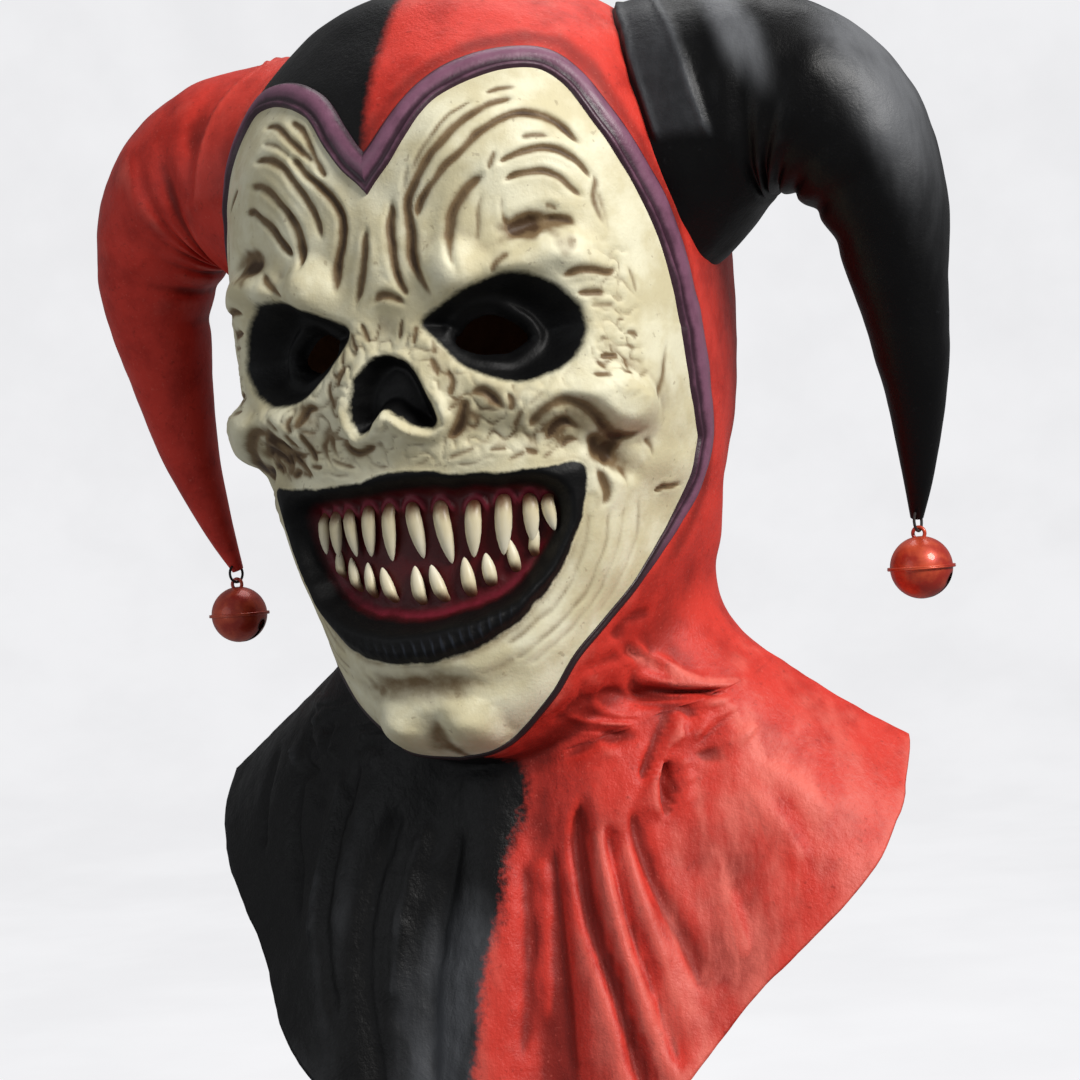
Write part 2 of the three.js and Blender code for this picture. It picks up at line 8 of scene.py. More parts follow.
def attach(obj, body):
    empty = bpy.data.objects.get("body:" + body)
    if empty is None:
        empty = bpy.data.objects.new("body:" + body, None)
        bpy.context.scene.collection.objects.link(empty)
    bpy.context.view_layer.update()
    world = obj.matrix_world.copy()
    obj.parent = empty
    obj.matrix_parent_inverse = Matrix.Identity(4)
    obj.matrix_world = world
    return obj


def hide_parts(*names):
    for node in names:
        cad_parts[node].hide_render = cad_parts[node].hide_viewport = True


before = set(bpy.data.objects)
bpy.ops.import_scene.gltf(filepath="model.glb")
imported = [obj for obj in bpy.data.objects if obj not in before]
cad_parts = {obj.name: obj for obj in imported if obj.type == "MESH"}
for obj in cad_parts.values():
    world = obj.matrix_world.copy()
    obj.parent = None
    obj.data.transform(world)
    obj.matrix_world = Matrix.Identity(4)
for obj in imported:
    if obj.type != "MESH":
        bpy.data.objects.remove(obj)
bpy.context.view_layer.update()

# Casting of hood, face and collar: one slush-cast latex skin, hollow and open below. Its form is set by level
# sections from the crown to the hem, with the jaw as a second form in front of the neck. Millimetres.
MM = 0.001
LEAST_RADIUS = 0.001
WALL = 2.2
JAW_BLEND = 7.0
JAW_BACK = 45.0
COLLAR_TURN = math.radians(5.0)
COLLAR_TUCK = 0.09
COLLAR_ROWS = {"turn": (11, 14), "fold": (11.5, 15), "tuck": (12, 15)}
WALK_SAMPLES = 4000
SECTION_NAMES = ("drop", "side", "front", "back", "centre", "square", "front_fall", "back_fall")
SECTION_ROWS = (
    (-2.2, 0, 0, 0, 0, 2.0, 0, 0),
    (3, 38, 37, 42, 0, 2.0, 0, 0),
    (14, 66, 62, 69, 0, 2.0, 0, 0),
    (33, 87, 79, 89, 0, 2.1, 0, 0),
    (52, 97, 93, 100, 0, 2.2, 0, 0),
    (78, 103, 104, 108, 0, 2.35, 0, 0),
    (106, 105, 105, 111, 0, 2.5, 0, 0),
    (150, 104, 101, 109, 0, 2.7, 0, 0),
    (190, 101, 99, 99, 3, 2.7, 0, 0),
    (215, 95, 88, 86, 9, 2.5, 0, 0),
    (240, 86, 66, 73, 19, 2.3, 0, 0),
    (265, 83, 57, 66, 25, 2.1, 4, 2),
    (288, 92, 58, 67, 27, 2.1, 18, 6),
    (308, 116, 68, 75, 28, 2.1, 46, 14),
    (326, 143, 84, 88, 28, 2.1, 96, 32),
    (341, 167, 106, 102, 29, 2.1, 170, 60),
)
SECTIONS = dict(zip(SECTION_NAMES, np.array(SECTION_ROWS, float).T))
LAST_ROW = len(SECTION_ROWS) - 1
JAW_NAMES = ("drop", "side", "reach", "square")
JAW_ROWS = (
    (160, 55, 50, 2.5),
    (188, 82, 80, 2.5),
    (210, 95, 92, 2.6),
    (228, 94, 93, 2.6),
    (247, 90, 93, 2.5),
    (270, 80, 95, 2.4),
    (290, 71, 95, 2.4),
    (308, 62, 90, 2.4),
    (322, 50, 82, 2.3),
    (332, 38, 66, 2.2),
    (339, 20, 36, 2.0),
)
JAW_SAMPLES = 2000
JAW = dict(zip(JAW_NAMES, np.array(JAW_ROWS, float).T))
COLLAR_FOLDS = (  # angle round the neck, half width in degrees, height at the hem
    (-150, 16, 5),
    (-118, 12, -5),
    (-88, 12, 5),
    (-62, 9, -6),
    (-44, 10, 6),
    (-22, 9, -6),
    (-4, 9, 5),
    (16, 8, -8),
    (33, 11, 7),
    (54, 10, -6),
    (74, 12, 5),
    (104, 14, -5),
    (134, 15, 5),
    (165, 13, -5),
)


def ramp(x, start, end):
    t = np.clip((x - start) / (end - start), 0, 1)
    return t * t * (3 - 2 * t)


def bell_curve(x, width, middle=0.0):
    return np.exp(-(((x - middle) / width) ** 2))


def band(x, rise, fall):
    """1 between two slopes, each given by its start and end, and 0 outside them."""
    return ramp(x, *rise) * (1 - ramp(x, *fall))


def smooth_value(column, place):
    """Catmull-Rom value of a table's column at fractional row numbers."""
    last = len(column) - 1
    row = np.clip(np.floor(place).astype(int), 0, last - 1)
    before, here, there, after = (column[np.clip(row + k, 0, last)] for k in (-1, 0, 1, 2))
    u = place - row
    cubic = 3 * (here - there) + after - before
    square = 2 * before - 5 * here + 4 * there - after
    return here + 0.5 * u * (there - before + u * (square + u * cubic))


def oval(angle, side, reach, square):
    across = np.abs(np.sin(angle) / side) ** square
    forward = np.abs(np.cos(angle) / reach) ** square
    return (across + forward) ** (-1 / square)


def jaw_radius(angle, z, centre):
    places = np.linspace(0, len(JAW_ROWS) - 1, JAW_SAMPLES)
    place = np.interp(-z, smooth_value(JAW["drop"], places), places)
    reach = np.where(np.cos(angle) > 0, smooth_value(JAW["reach"], place) + centre, JAW_BACK)
    radius = oval(angle, smooth_value(JAW["side"], place), reach, smooth_value(JAW["square"], place))
    outside = (-z < JAW["drop"][0]) | (-z > JAW["drop"][-1])
    return np.where(outside, 0, radius)


def bare_form(angle, place):
    """Radius, centre and height of the bare casting, by angle round the head and place down the sections."""
    section = {name: smooth_value(column, place) for name, column in SECTIONS.items()}
    hang = angle - COLLAR_TURN * ramp(place, *COLLAR_ROWS["turn"])
    forward = np.cos(hang)
    fall = section["front_fall"] * np.maximum(forward, 0) + section["back_fall"] * np.maximum(-forward, 0)
    z = -(section["drop"] + fall)
    reach = np.maximum(np.where(forward > 0, section["front"], section["back"]), LEAST_RADIUS)
    tuck = COLLAR_TUCK * ramp(place, *COLLAR_ROWS["tuck"]) * np.maximum(-np.sin(angle), 0)
    side = np.maximum(section["side"] * (1 - tuck), LEAST_RADIUS)
    bearing = np.degrees(angle - COLLAR_TURN)
    fold = sum(height * bell_curve(bearing, wide, at) for at, wide, height in COLLAR_FOLDS)
    bare = oval(hang, side, reach, section["square"]) + fold * ramp(place, *COLLAR_ROWS["fold"])
    gap = bare - jaw_radius(angle, z, section["centre"])
    radius = bare + (np.hypot(gap, JAW_BLEND) - gap) / 2
    return np.where(place > 0, radius, 0), section["centre"], z


def skin_grid(angles, places):
    """Bare points of the casting on a grid, with distance from the midline and direction outward."""
    angle, place = np.meshgrid(angles, places)
    radius, centre, z = bare_form(angle, place)
    out = np.stack((np.sin(angle), -np.cos(angle), np.zeros_like(angle)), -1)
    point = radius[..., None] * out + np.stack((np.zeros_like(z), centre, z), -1)
    steps = np.linalg.norm(np.diff(point, axis=1), axis=2)
    along = np.insert(np.cumsum(steps, axis=1), 0, 0, axis=1)
    middle = np.argmin(np.abs(angles))
    return {"angle": angle, "place": place, "point": point, "out": out, "z": z,
            "along": along - along[:, middle:middle + 1]}


def places_by_step(step, start, end):
    """Places between two sections, a step apart along the front of the casting."""
    fine = np.linspace(start, end, WALK_SAMPLES)
    radius, centre, z = bare_form(np.zeros_like(fine), fine)
    walk = np.insert(np.cumsum(np.hypot(np.diff(centre - radius), np.diff(z))), 0, 0)
    return np.interp(np.linspace(0, walk[-1], int(walk[-1] / step)), walk, fine)


# Modelled face: relief on the casting, given by the distance along the skin from the midline and the height.
# Outlines of sockets, eyes, nose, mouth and gums are short tables; furrows are strokes cut into the skin.
FORM_NAMES = ("along", "z", "wide", "tall", "tilt", "height", "core")
FACE_FORMS = (
    (33, -135, 18, 17, 0, 8, 0.1),
    (60, -133, 26, 10, 8, 4.5, 0),
    (82, -131, 24, 13, -22, 5, 0),
    (70, -118, 22, 9, 4, -4.5, 0),
    (44, -84, 40, 30, 0, 2.5, 0.2),
    (0, -126, 15, 34, 0, 2.5, 0),
    (0, -153, 13, 14, 0, -3, 0),
    (62, -190, 30, 12, 12, 4, 0.2),
    (95, -191, 26, 18, -10, 10, 0.3),
    (92, -214, 22, 9, -30, -5, 0),
    (0, -186, 32, 30, 0, 8, 0.2),
    (30, -206, 28, 10, 0, 3, 0),
    (112, -236, 34, 34, 0, -5, 0),
    (17, -322, 18, 17, 0, 8, 0.1),
    (0, -302, 42, 11, 0, -5, 0),
    (38, -300, 20, 14, 20, -2, 0),
)
SOCKET = ((16, -153), (28, -146), (41, -140), (55, -136.5), (68, -138.5), (80, -147), (87, -160), (81, -172),
          (70, -178.5), (55, -181.5), (42, -178), (32, -171.5), (23, -163))
EYE_HOLE = ((29, -161), (37, -154), (46.5, -151.5), (56, -154), (65.5, -162), (56, -167.5), (46, -168.5),
            (36, -166.5))
NOSE_HALF = ((0, -164.5), (8.5, -167.5), (14.8, -175), (18, -184), (19.2, -191.5), (16.5, -196), (10, -195),
             (5.6, -191.6), (0, -187.5))
MOUTH_HALF = ((0, -212.5), (28, -215.5), (52, -216), (75, -214.5), (77, -226), (71, -245), (62, -260),
              (51, -273), (41.6, -280), (30, -286), (13, -291), (0, -292))
GUM_HALF = ((0, -219.5), (20, -220.5), (42, -221.5), (60, -223), (66, -230), (62, -243), (54, -255),
            (43, -264.5), (25, -271.5), (0, -274.5))
TRIM_ROWS = (  # along, z, width of the band
    (0, -91, 13), (7, -84, 13), (13.5, -75, 13), (20, -66, 13), (27.5, -58.5, 13), (40, -52, 13),
    (55, -48.5, 12.5), (71, -49.5, 12.5), (85, -57.5, 12.5), (96, -68.5, 13), (108, -82, 13.5),
    (119.5, -97, 14), (131, -114, 15.5), (140, -131, 18), (146, -148, 20), (151, -165, 22), (154, -181, 22),
    (154, -197, 19), (149, -216, 14), (134, -238, 8.5), (108, -263.5, 5.2), (87.5, -281, 4.4),
    (71, -294, 4.2), (56.5, -309, 4.2), (38, -323, 4.2), (20, -331, 4.2), (0, -334, 4.2),
)
FURROWS = (  # both sides: width, depth, then points
    (1.6, 1.8, (76, -141), (82, -138), (89, -138), (98, -139), (104, -137)),
    (1.6, 1.8, (81, -147), (88, -147), (97, -147)),
    (1.2, 1.0, (87, -153), (93, -152), (101, -152)),
    (1.5, 0.9, (95, -97), (96, -103), (95, -108), (96, -115), (99, -123)),
    (1.2, 0.8, (108, -135), (110, -142), (111, -149)),
    (1.0, 1.2, (10, -150), (7, -160)),
    (1.0, 1.2, (15.5, -153), (12.5, -163)),
    (1.0, 1.1, (20.5, -157), (21, -168)),
    (1.0, 1.1, (19, -167), (23, -177)),
    (1.2, 1.2, (26, -172), (28, -179), (26, -186)),
    (0.9, 1.1, (90, -165), (95, -166)),
    (0.9, 1.1, (103, -164), (110, -164)),
    (1.2, 1.4, (89, -173), (99, -173)),
    (1.2, 1.4, (83, -180), (92, -181)),
    (1.0, 1.1, (88, -174), (90, -179)),
    (1.0, 1.2, (96, -180), (103, -180)),
    (0.9, 0.9, (103, -169), (108, -170)),
    (0.8, 1.0, (95, -167), (95, -172)),
    (0.8, 0.8, (99, -160), (101, -157)),
    (1.3, 0.6, (89, -184), (107, -186)),
    (2.2, 2.8, (54, -200), (59, -196), (65, -192), (73, -190), (80, -194), (86, -201), (93, -205),
     (106, -203)),
    (1.6, 2.1, (59, -206), (63, -202), (67, -199), (72, -198), (78, -202)),
    (1.3, 1.5, (67, -210), (69, -206), (72, -205), (76, -205)),
    (3.4, 2.6, (78, -205), (83, -208), (89, -211), (94, -214)),
    (2.6, 3.0, (82, -216), (85, -222), (87, -228), (84, -234)),
    (1.8, 2.0, (33, -185), (40, -183), (44, -187), (49, -193)),
    (1.4, 1.4, (49, -184), (51, -189), (49, -193)),
    (1.3, 1.1, (55, -191), (52, -195), (49, -199)),
    (1.3, 1.1, (56, -192), (61, -187), (64, -185)),
    (1.2, 1.2, (19, -209), (24, -208), (30, -206), (34, -203)),
    (1.2, 1.2, (37, -207), (42, -207), (46, -206.5)),
    (1.3, 1.4, (52, -208), (55, -209), (59, -210)),
    (1.1, 1.0, (45, -212), (50, -210), (53, -209)),
    (1.4, 0.7, (129, -166), (125, -174), (122, -182), (116, -189), (111, -194)),
    (1.2, 0.8, (104, -206), (108, -208), (112, -211), (115, -216)),
    (1.2, 0.7, (95, -216), (98, -222), (99, -229)),
    (1.3, 0.5, (78, -235), (76, -246), (71, -258), (63, -270), (52, -279), (39, -287)),
    (1.3, 0.6, (88, -235), (85, -248), (79, -263), (69, -274), (56, -285), (41, -293)),
    (1.3, 0.5, (97, -233), (93, -247), (86, -263), (76, -275), (63, -286), (47, -296)),
    (1.3, 0.4, (108, -231), (103, -248), (94, -264), (82, -278)),
)
SINGLE_FURROWS = (  # as they lie: the mask's left of the brow, right of the brow, nose, cheek, chin
    (1.7, 2.0, (12, -102), (10, -112), (9, -123), (10, -136), (13, -143)),
    (1.9, 2.2, (24, -145), (20, -135), (17, -126), (17.5, -116), (18, -105), (22, -96), (30, -86),
     (39, -77.5), (48, -71), (55, -68), (62, -67)),
    (1.7, 1.9, (20, -113), (24, -104), (33, -95), (43, -86.5), (52, -78.5), (59, -75), (67, -73.5), (75, -75),
     (83, -80), (91, -87)),
    (1.2, 1.0, (20, -94), (25, -86), (32, -77.5), (38, -70.5), (45, -66)),
    (2.0, 2.1, (36, -137), (34, -127), (34.5, -117), (38, -108), (44, -101), (51, -96)),
    (1.3, 1.3, (48, -64), (55, -62), (64, -62)),
    (1.3, 1.1, (64, -84), (71, -83), (78, -84)),
    (1.5, 1.6, (55, -94), (62, -90.5), (71, -88.5), (81, -89.5), (89, -94), (95, -102)),
    (1.5, 1.6, (57, -102), (64, -98.5), (72, -97.5), (79, -100), (85, -104.5), (91, -109)),
    (1.3, 1.2, (55, -87), (53, -92), (51, -97)),
    (1.2, 0.7, (48, -104), (46, -114), (45, -125)),
    (1.2, 0.8, (57, -105), (56.5, -113), (59, -120)),
    (1.6, 1.5, (48, -138), (52, -132.5), (58, -129)),
    (1.5, 1.2, (72, -116), (78, -116), (83, -117.5), (86, -120)),
    (1.3, 1.0, (73, -111), (76, -111), (80, -113)),
    (1.3, 0.6, (97, -105), (98.5, -114), (100, -126)),
    (1.2, 0.8, (16, -102), (18, -95), (21, -89)),
    (3.0, 1.4, (58, -123), (62, -119.5), (67, -117), (73, -116)),
    (3.6, 1.2, (72, -129), (78, -127.5), (85, -130)),
    (1.4, 1.4, (-40, -62), (-31, -68), (-25, -77), (-20, -86), (-18, -91)),
    (1.5, 1.6, (-59, -62), (-46, -65), (-36, -72), (-28, -79), (-22, -84)),
    (1.8, 2.0, (-35, -79), (-27, -87), (-18, -98), (-13, -108), (-13.5, -116), (-17, -126), (-20, -139)),
    (1.8, 2.0, (-61, -78), (-49, -78.5), (-38, -84), (-31, -93), (-26, -104), (-24, -116)),
    (2.0, 2.2, (-66, -87), (-52, -89.5), (-42, -97), (-36, -108), (-34, -118), (-33, -127)),
    (1.8, 2.0, (-71, -98), (-60, -99), (-51, -106), (-44, -114.5), (-39, -121)),
    (1.9, 2.1, (-1, -112), (-2.5, -122), (-6, -132), (-12, -146)),
    (1.2, 0.9, (-56, -70), (-43, -74), (-34, -80)),
    (3.0, 1.4, (-78, -123), (-68, -122), (-60, -121)),
    (1.5, 1.5, (-59, -123), (-54, -129), (-48, -134), (-42, -138)),
    (1.4, 1.1, (-76, -86), (-84, -90), (-90, -97)),
    (1.8, 2.0, (-5, -145), (1, -141), (7, -142), (12, -147)),
    (1.8, 2.0, (19, -201), (24, -199), (29, -193), (32, -188), (35, -186)),
    (1.7, 1.8, (-27, -196), (-24, -200), (-19, -203), (-15, -203), (-10, -201), (-6, -198)),
    (1.5, 1.5, (-47, -191), (-44, -196), (-42, -202), (-40, -206)),
    (1.4, 1.4, (-56, -200), (-50, -207), (-44, -212)),
    (1.2, 1.0, (-31, -193), (-31, -200), (-26, -207)),
    (1.2, 1.0, (-36, -196), (-35, -202), (-31, -210)),
    (0.9, 1.6, (117, -229), (122, -227), (126, -227), (135, -226)),
    (3.4, 1.2, (2, -314), (4, -322), (5, -329), (4, -338)),
    (2.6, 0.5, (-35, -289), (-29, -294), (-23, -301), (-19, -306)),
    (2.8, 0.6, (-28, -292), (-18, -297), (-7, -299), (6, -299)),
    (2.8, 0.4, (-2, -296), (10, -298), (22, -300), (29, -304)),
    (2.0, 0.5, (23, -298), (35, -295), (44, -291)),
)
SMUDGES = (  # both sides: along, z, radius and strength of patches of wash and painted shade
    (88, -209, 8, 0.7), (42, -192, 13, 0.25), (26, -168, 10, 0.25), (64, -202, 9, 0.3),
)
SINGLE_SMUDGES = (  # as they lie
    (59, -122, 6, 0.45), (65, -119, 6, 0.5), (72, -117, 5, 0.3), (79, -128, 8, 0.3), (-69, -122, 8, 0.7),
    (-64, -198, 9, 0.65), (-55, -205, 6, 0.4), (-24, -301, 8, 0.22), (8, -299, 13, 0.12),
)
STROKE = {  # how a groove is drawn: samples and reach, then how it thins towards its ends
    "samples": 5, "reach": 3, "end_widths": 4.5, "longest_end": 0.4, "past_end": 0.03, "thinnest": 0.35,
    "fade": (-0.05, 0.8),
}
STREWN = {"bow": (-0.3, 0.3), "press": (0.6, 1.1)}
HASH = {"seed": 7, "count": 16, "along": (86, 111), "z": (-186, -155), "length": (2, 5), "width": 0.75,
        "depth": 0.9, "lean": 0.0, "spread": 0.6}
STRANDS = {"seed": 3, "count": 14, "along": (4, 74), "z": (-212, -197), "length": (6, 14), "width": 0.9,
           "depth": 0.65, "lean": 0.25, "spread": 0.35}
CURVE_STEP = 0.125
FAR, TINY = 1e9, 1e-9
GUM_RIM = {"round": 0.72, "squash": 0.8, "lift": 2.5, "thick": 1.5, "past_root": (-4, 0)}
UPPER_TEETH = (  # along, root, length, wide, lean in degrees
    (-55, -228, 16, 5.0, 4),
    (-46.5, -228, 17.5, 5.4, 2),
    (-37, -227.5, 18.5, 5.6, -5),
    (-26, -227, 19.5, 5.8, 2),
    (-14, -227, 22, 6.0, 3),
    (-2.5, -227.5, 21.5, 6.6, -8),
    (12, -228, 24, 7.0, -7),
    (28, -229, 21, 6.8, 4),
    (42, -227.5, 22.5, 7.0, 4),
    (54, -227.5, 18.5, 6.4, 0),
    (63, -227.5, 14, 5.8, -8),
)
LOWER_TEETH = (
    (-48, -253, 11, 4.6, 8),
    (-36.5, -259, 13.5, 5.0, 18),
    (-26.5, -262, 13.5, 5.0, 11),
    (-15.5, -264.5, 14, 5.6, 19),
    (-0.5, -266, 14.5, 5.8, 8),
    (10.5, -265.5, 14.5, 6.0, 18),
    (23.5, -264, 14.5, 5.8, 7),
    (33, -260.5, 12, 5.6, 7),
    (44.5, -255.5, 12.5, 4.8, 10),
    (54, -250, 11.5, 4.6, -8),
)


def closed_curve(half, mirror):
    """Smooth closed outline through the points of a table, mirrored over the midline where that is asked."""
    stops = list(half) + ([(-x, z) for x, z in reversed(half) if x > 0] if mirror else [])
    loop = np.array(stops[-1:] + stops + stops[:2], float)
    fine = np.arange(0, len(stops), CURVE_STEP) + 1
    return np.stack([smooth_value(loop[:, axis], fine) for axis in (0, 1)], -1)


def segment_distance(along, z, start, end):
    """Distance from points to a segment, and where on the segment the nearest place lies."""
    dx, dz = end[0] - start[0], end[1] - start[1]
    t = np.clip(((along - start[0]) * dx + (z - start[1]) * dz) / (dx * dx + dz * dz), 0, 1)
    return np.hypot(along - start[0] - t * dx, z - start[1] - t * dz), t


def inside_distance(along, z, outline):
    """Signed distance to a closed outline, positive inside."""
    nearest = np.full(along.shape, FAR)
    inside = np.zeros(along.shape, bool)
    for start, end in zip(outline, np.roll(outline, -1, axis=0)):
        nearest = np.minimum(nearest, segment_distance(along, z, start, end)[0])
        crosses = (start[1] > z) != (end[1] > z)
        rise = end[1] - start[1] if end[1] != start[1] else TINY
        inside ^= crosses & (along < start[0] + (z - start[1]) * (end[0] - start[0]) / rise)
    return np.where(inside, nearest, -nearest)


def stroke(along, z, width, points):
    """Groove profile of one stroke, 1 in its middle and tapered to its ends."""
    stops = np.array(points, float)
    fine = np.linspace(0, len(stops) - 1, STROKE["samples"] * len(stops))
    line = np.stack([smooth_value(stops[:, axis], fine) for axis in (0, 1)], -1)
    reach = STROKE["reach"] * width
    low, high = line.min(axis=0) - reach, line.max(axis=0) + reach
    near = (along > low[0]) & (along < high[0]) & (z > low[1]) & (z < high[1])
    profile = np.zeros(along.shape)
    best = np.full(near.sum(), FAR)
    where = np.zeros(near.sum())
    for k in range(len(line) - 1):
        distance, t = segment_distance(along[near], z[near], line[k], line[k + 1])
        closer = distance < best
        best = np.where(closer, distance, best)
        where = np.where(closer, (k + t) / (len(line) - 1), where)
    length = np.hypot(*np.diff(line, axis=0).T).sum()
    end = min(STROKE["end_widths"] * width / length, STROKE["longest_end"])
    past = STROKE["past_end"]
    taper = band(where, (-past, end), (1 - end, 1 + past))
    thinned = STROKE["thinnest"] + (1 - STROKE["thinnest"]) * taper
    profile[near] = bell_curve(best / thinned, width) * ramp(taper, *STROKE["fade"])
    return profile


def scattered_strokes(plan):
    """Short strokes strewn over a patch of skin, from a seeded draw: width, depth and points."""
    draw = np.random.default_rng(plan["seed"])
    strokes = []
    for _ in range(plan["count"]):
        middle = np.array((draw.uniform(*plan["along"]), draw.uniform(*plan["z"])))
        turn = draw.normal(plan["lean"], plan["spread"])
        way = np.array((math.cos(turn), math.sin(turn))) * draw.uniform(*plan["length"]) / 2
        bow = np.array((-way[1], way[0])) * draw.uniform(*STREWN["bow"])
        depth = plan["depth"] * draw.uniform(*STREWN["press"])
        strokes.append((plan["width"], depth, (middle - way, middle + bow, middle + way)))
    return strokes


def wrinkle_strokes():
    """All furrows that lie on both sides of the face: width, depth and points."""
    strokes = [(width, depth, points) for width, depth, *points in FURROWS]
    return strokes + scattered_strokes(HASH) + scattered_strokes(STRANDS)


def gum_arches(along, z):
    """Raised rim of gum round the root of every tooth."""
    rim = np.zeros(along.shape)
    for teeth_row, way in ((UPPER_TEETH, -1), (LOWER_TEETH, 1)):
        for at, root, _, wide, _ in teeth_row:
            below = GUM_RIM["squash"] * (z - root - way * GUM_RIM["lift"])
            ring = np.hypot(along - at, below) - GUM_RIM["round"] * wide
            arch = bell_curve(ring, GUM_RIM["thick"]) * ramp(way * (root - z), *GUM_RIM["past_root"])
            rim = np.maximum(rim, arch)
    return rim


def skin_noise(grid, size):
    """Smooth noise in the casting's space, with features of about a size in millimetres."""
    places = (grid["point"] / size).reshape(-1, 3)
    return np.array([noise.noise(place) for place in places]).reshape(grid["z"].shape)


OUTLINES = {
    "socket": closed_curve(SOCKET, False),
    "eye": closed_curve(EYE_HOLE, False),
    "nose": closed_curve(NOSE_HALF, True),
    "mouth": closed_curve(MOUTH_HALF, True),
    "gum": closed_curve(GUM_HALF, True),
    "trim": closed_curve([row[:2] for row in TRIM_ROWS], True),
}
TWO_SIDED = ("socket", "eye")
DARK_HOLLOWS = ("socket", "nose", "mouth")
UNEVEN = {  # height and size of the noise that each is shifted by
    "along": ((1.3, 14), (0.5, 5)),
    "z": ((0.9, 11),),
    "height": ((0.5, 13),),
}
DEPTHS = {"socket": 17.0, "nose": 13.0, "gum": 12.0, "upper_lip": 1.5, "lower_lip": 4.5, "lid": 3.5,
          "rim": 3.0, "lip_rib": 0.5, "gum_arch": 1.8}
SLOPES = {  # outline, then start and end of a slope in millimetres inside it
    "socket": ("socket", -3, 14),
    "lid": ("socket", 2, 8),
    "nose": ("nose", -1.5, 6),
    "lip": ("mouth", -1, 5),
    "lip_inside": ("gum", -7, 1),
    "gum": ("gum", -6, 4),
    "gum_arch": ("gum", 0, 2),
}
RIMS = {  # outline, then half width of a rib and its middle in millimetres inside the outline
    "lid": ("eye", 3, -3.5),
    "nose": ("nose", 2.2, -3.2),
    "lip": ("mouth", 4, 6),
    "gum": ("gum", 2.5, 2.5),
}
NOSE_RIM_DROP, LOWER_LIP_DROP = (172, 190), (222, 262)
LIP_RIBS = {"rate": 1.5, "sway": 2, "sway_size": 5, "half": 34, "middle": 12}
GUM_RIDGE, LOWER_ARCH_LOSS = 0.6, 0.7
NET = {"size": 6.5, "thin": 0.14, "depth": 0.7, "paint": 0.34}
NEAR_EYES = {"drop": ((146, 158), (205, 213)), "along": (66, 84)}
BESIDE_EYES = {"drop": ((122, 136), (184, 194)), "along": ((84, 91), (106, 116))}
# Side of the face behind the cheekbone, darkened as painted shade.
SHADE_BEHIND_CHEEK = {"drop": ((160, 185), (235, 265)), "along": (112, 126)}
FURROW = {"wide": 1.22, "depth": 1.2, "shoulder": 0.62, "shoulder_wide": 2.2, "full_depth": 1.8,
          "full_width": 2}
PRESSURE = {"mean": 0.95, "change": 0.3, "size": 9}
# Wash in the furrows; wash and painted shade beside them and round the sockets, nose and mouth; painted shade
# behind the cheekbone.
STAIN_AND_SHADE = {"core": 0.58, "halo": 0.5, "grime_and_shade": 0.28, "grime_and_shade_reach": 4, "cheek": 0.2, "edge": (-1, 1)}
SMUDGE_GRAIN = {"change": 1.2, "size": 4}


def uneven(grid, rows):
    """Sum of noises, each of a height and a size."""
    return sum(height * skin_noise(grid, size) for height, size in rows)


def skull_forms(both, z):
    """Height of the broad forms of the skull, alike on both sides."""
    height = np.zeros(z.shape)
    for row in FACE_FORMS:
        form = dict(zip(FORM_NAMES, row))
        turn = math.radians(form["tilt"])
        dx, dz = both - form["along"], z - form["z"]
        wide = (dx * math.cos(turn) + dz * math.sin(turn)) / form["wide"]
        tall = (dz * math.cos(turn) - dx * math.sin(turn)) / form["tall"]
        height += form["height"] * (1 - ramp(np.hypot(wide, tall), form["core"], 1))
    return height


def furrows(grid, along, z, net):
    """Relief of all furrows with their raised shoulders, the wash in them, and wash and painted shade beside
    them.
    """
    both = np.abs(along)
    lines = [(both, *row) for row in wrinkle_strokes()]
    lines += [(along, width, depth, points) for width, depth, *points in SINGLE_FURROWS]
    cut, core = NET["depth"] * net, NET["paint"] * net
    halo, shoulder = np.zeros(along.shape), np.zeros(along.shape)
    full = FURROW["full_depth"]
    for place, width, depth, points in lines:
        width *= FURROW["wide"]
        profile = stroke(place, z, width, points)
        wide = stroke(place, z, FURROW["shoulder_wide"] * width, points)
        narrow = min((FURROW["full_width"] / width) ** 2, 1)
        cut = np.maximum(cut, depth * profile)
        shoulder = np.maximum(shoulder, depth * wide)
        core = np.maximum(core, profile ** 2 * min(depth / full, 1) * narrow)
        halo = np.maximum(halo, wide * min(depth, full) / full)
    pressure = PRESSURE["mean"] + PRESSURE["change"] * skin_noise(grid, PRESSURE["size"])
    relief = (FURROW["shoulder"] * shoulder - FURROW["depth"] * cut) * pressure
    return relief, (STAIN_AND_SHADE["core"] * core + STAIN_AND_SHADE["halo"] * halo) * pressure


def smudges(grid, along, z):
    """Patches of wash and painted shade on the skin, broken up by its grain."""
    smudge = np.zeros(along.shape)
    for place, rows in ((np.abs(along), SMUDGES), (along, SINGLE_SMUDGES)):
        for at, high, radius, strength in rows:
            smudge += strength * bell_curve(np.hypot(place - at, z - high), radius)
    return smudge * (1 + SMUDGE_GRAIN["change"] * skin_noise(grid, SMUDGE_GRAIN["size"]))


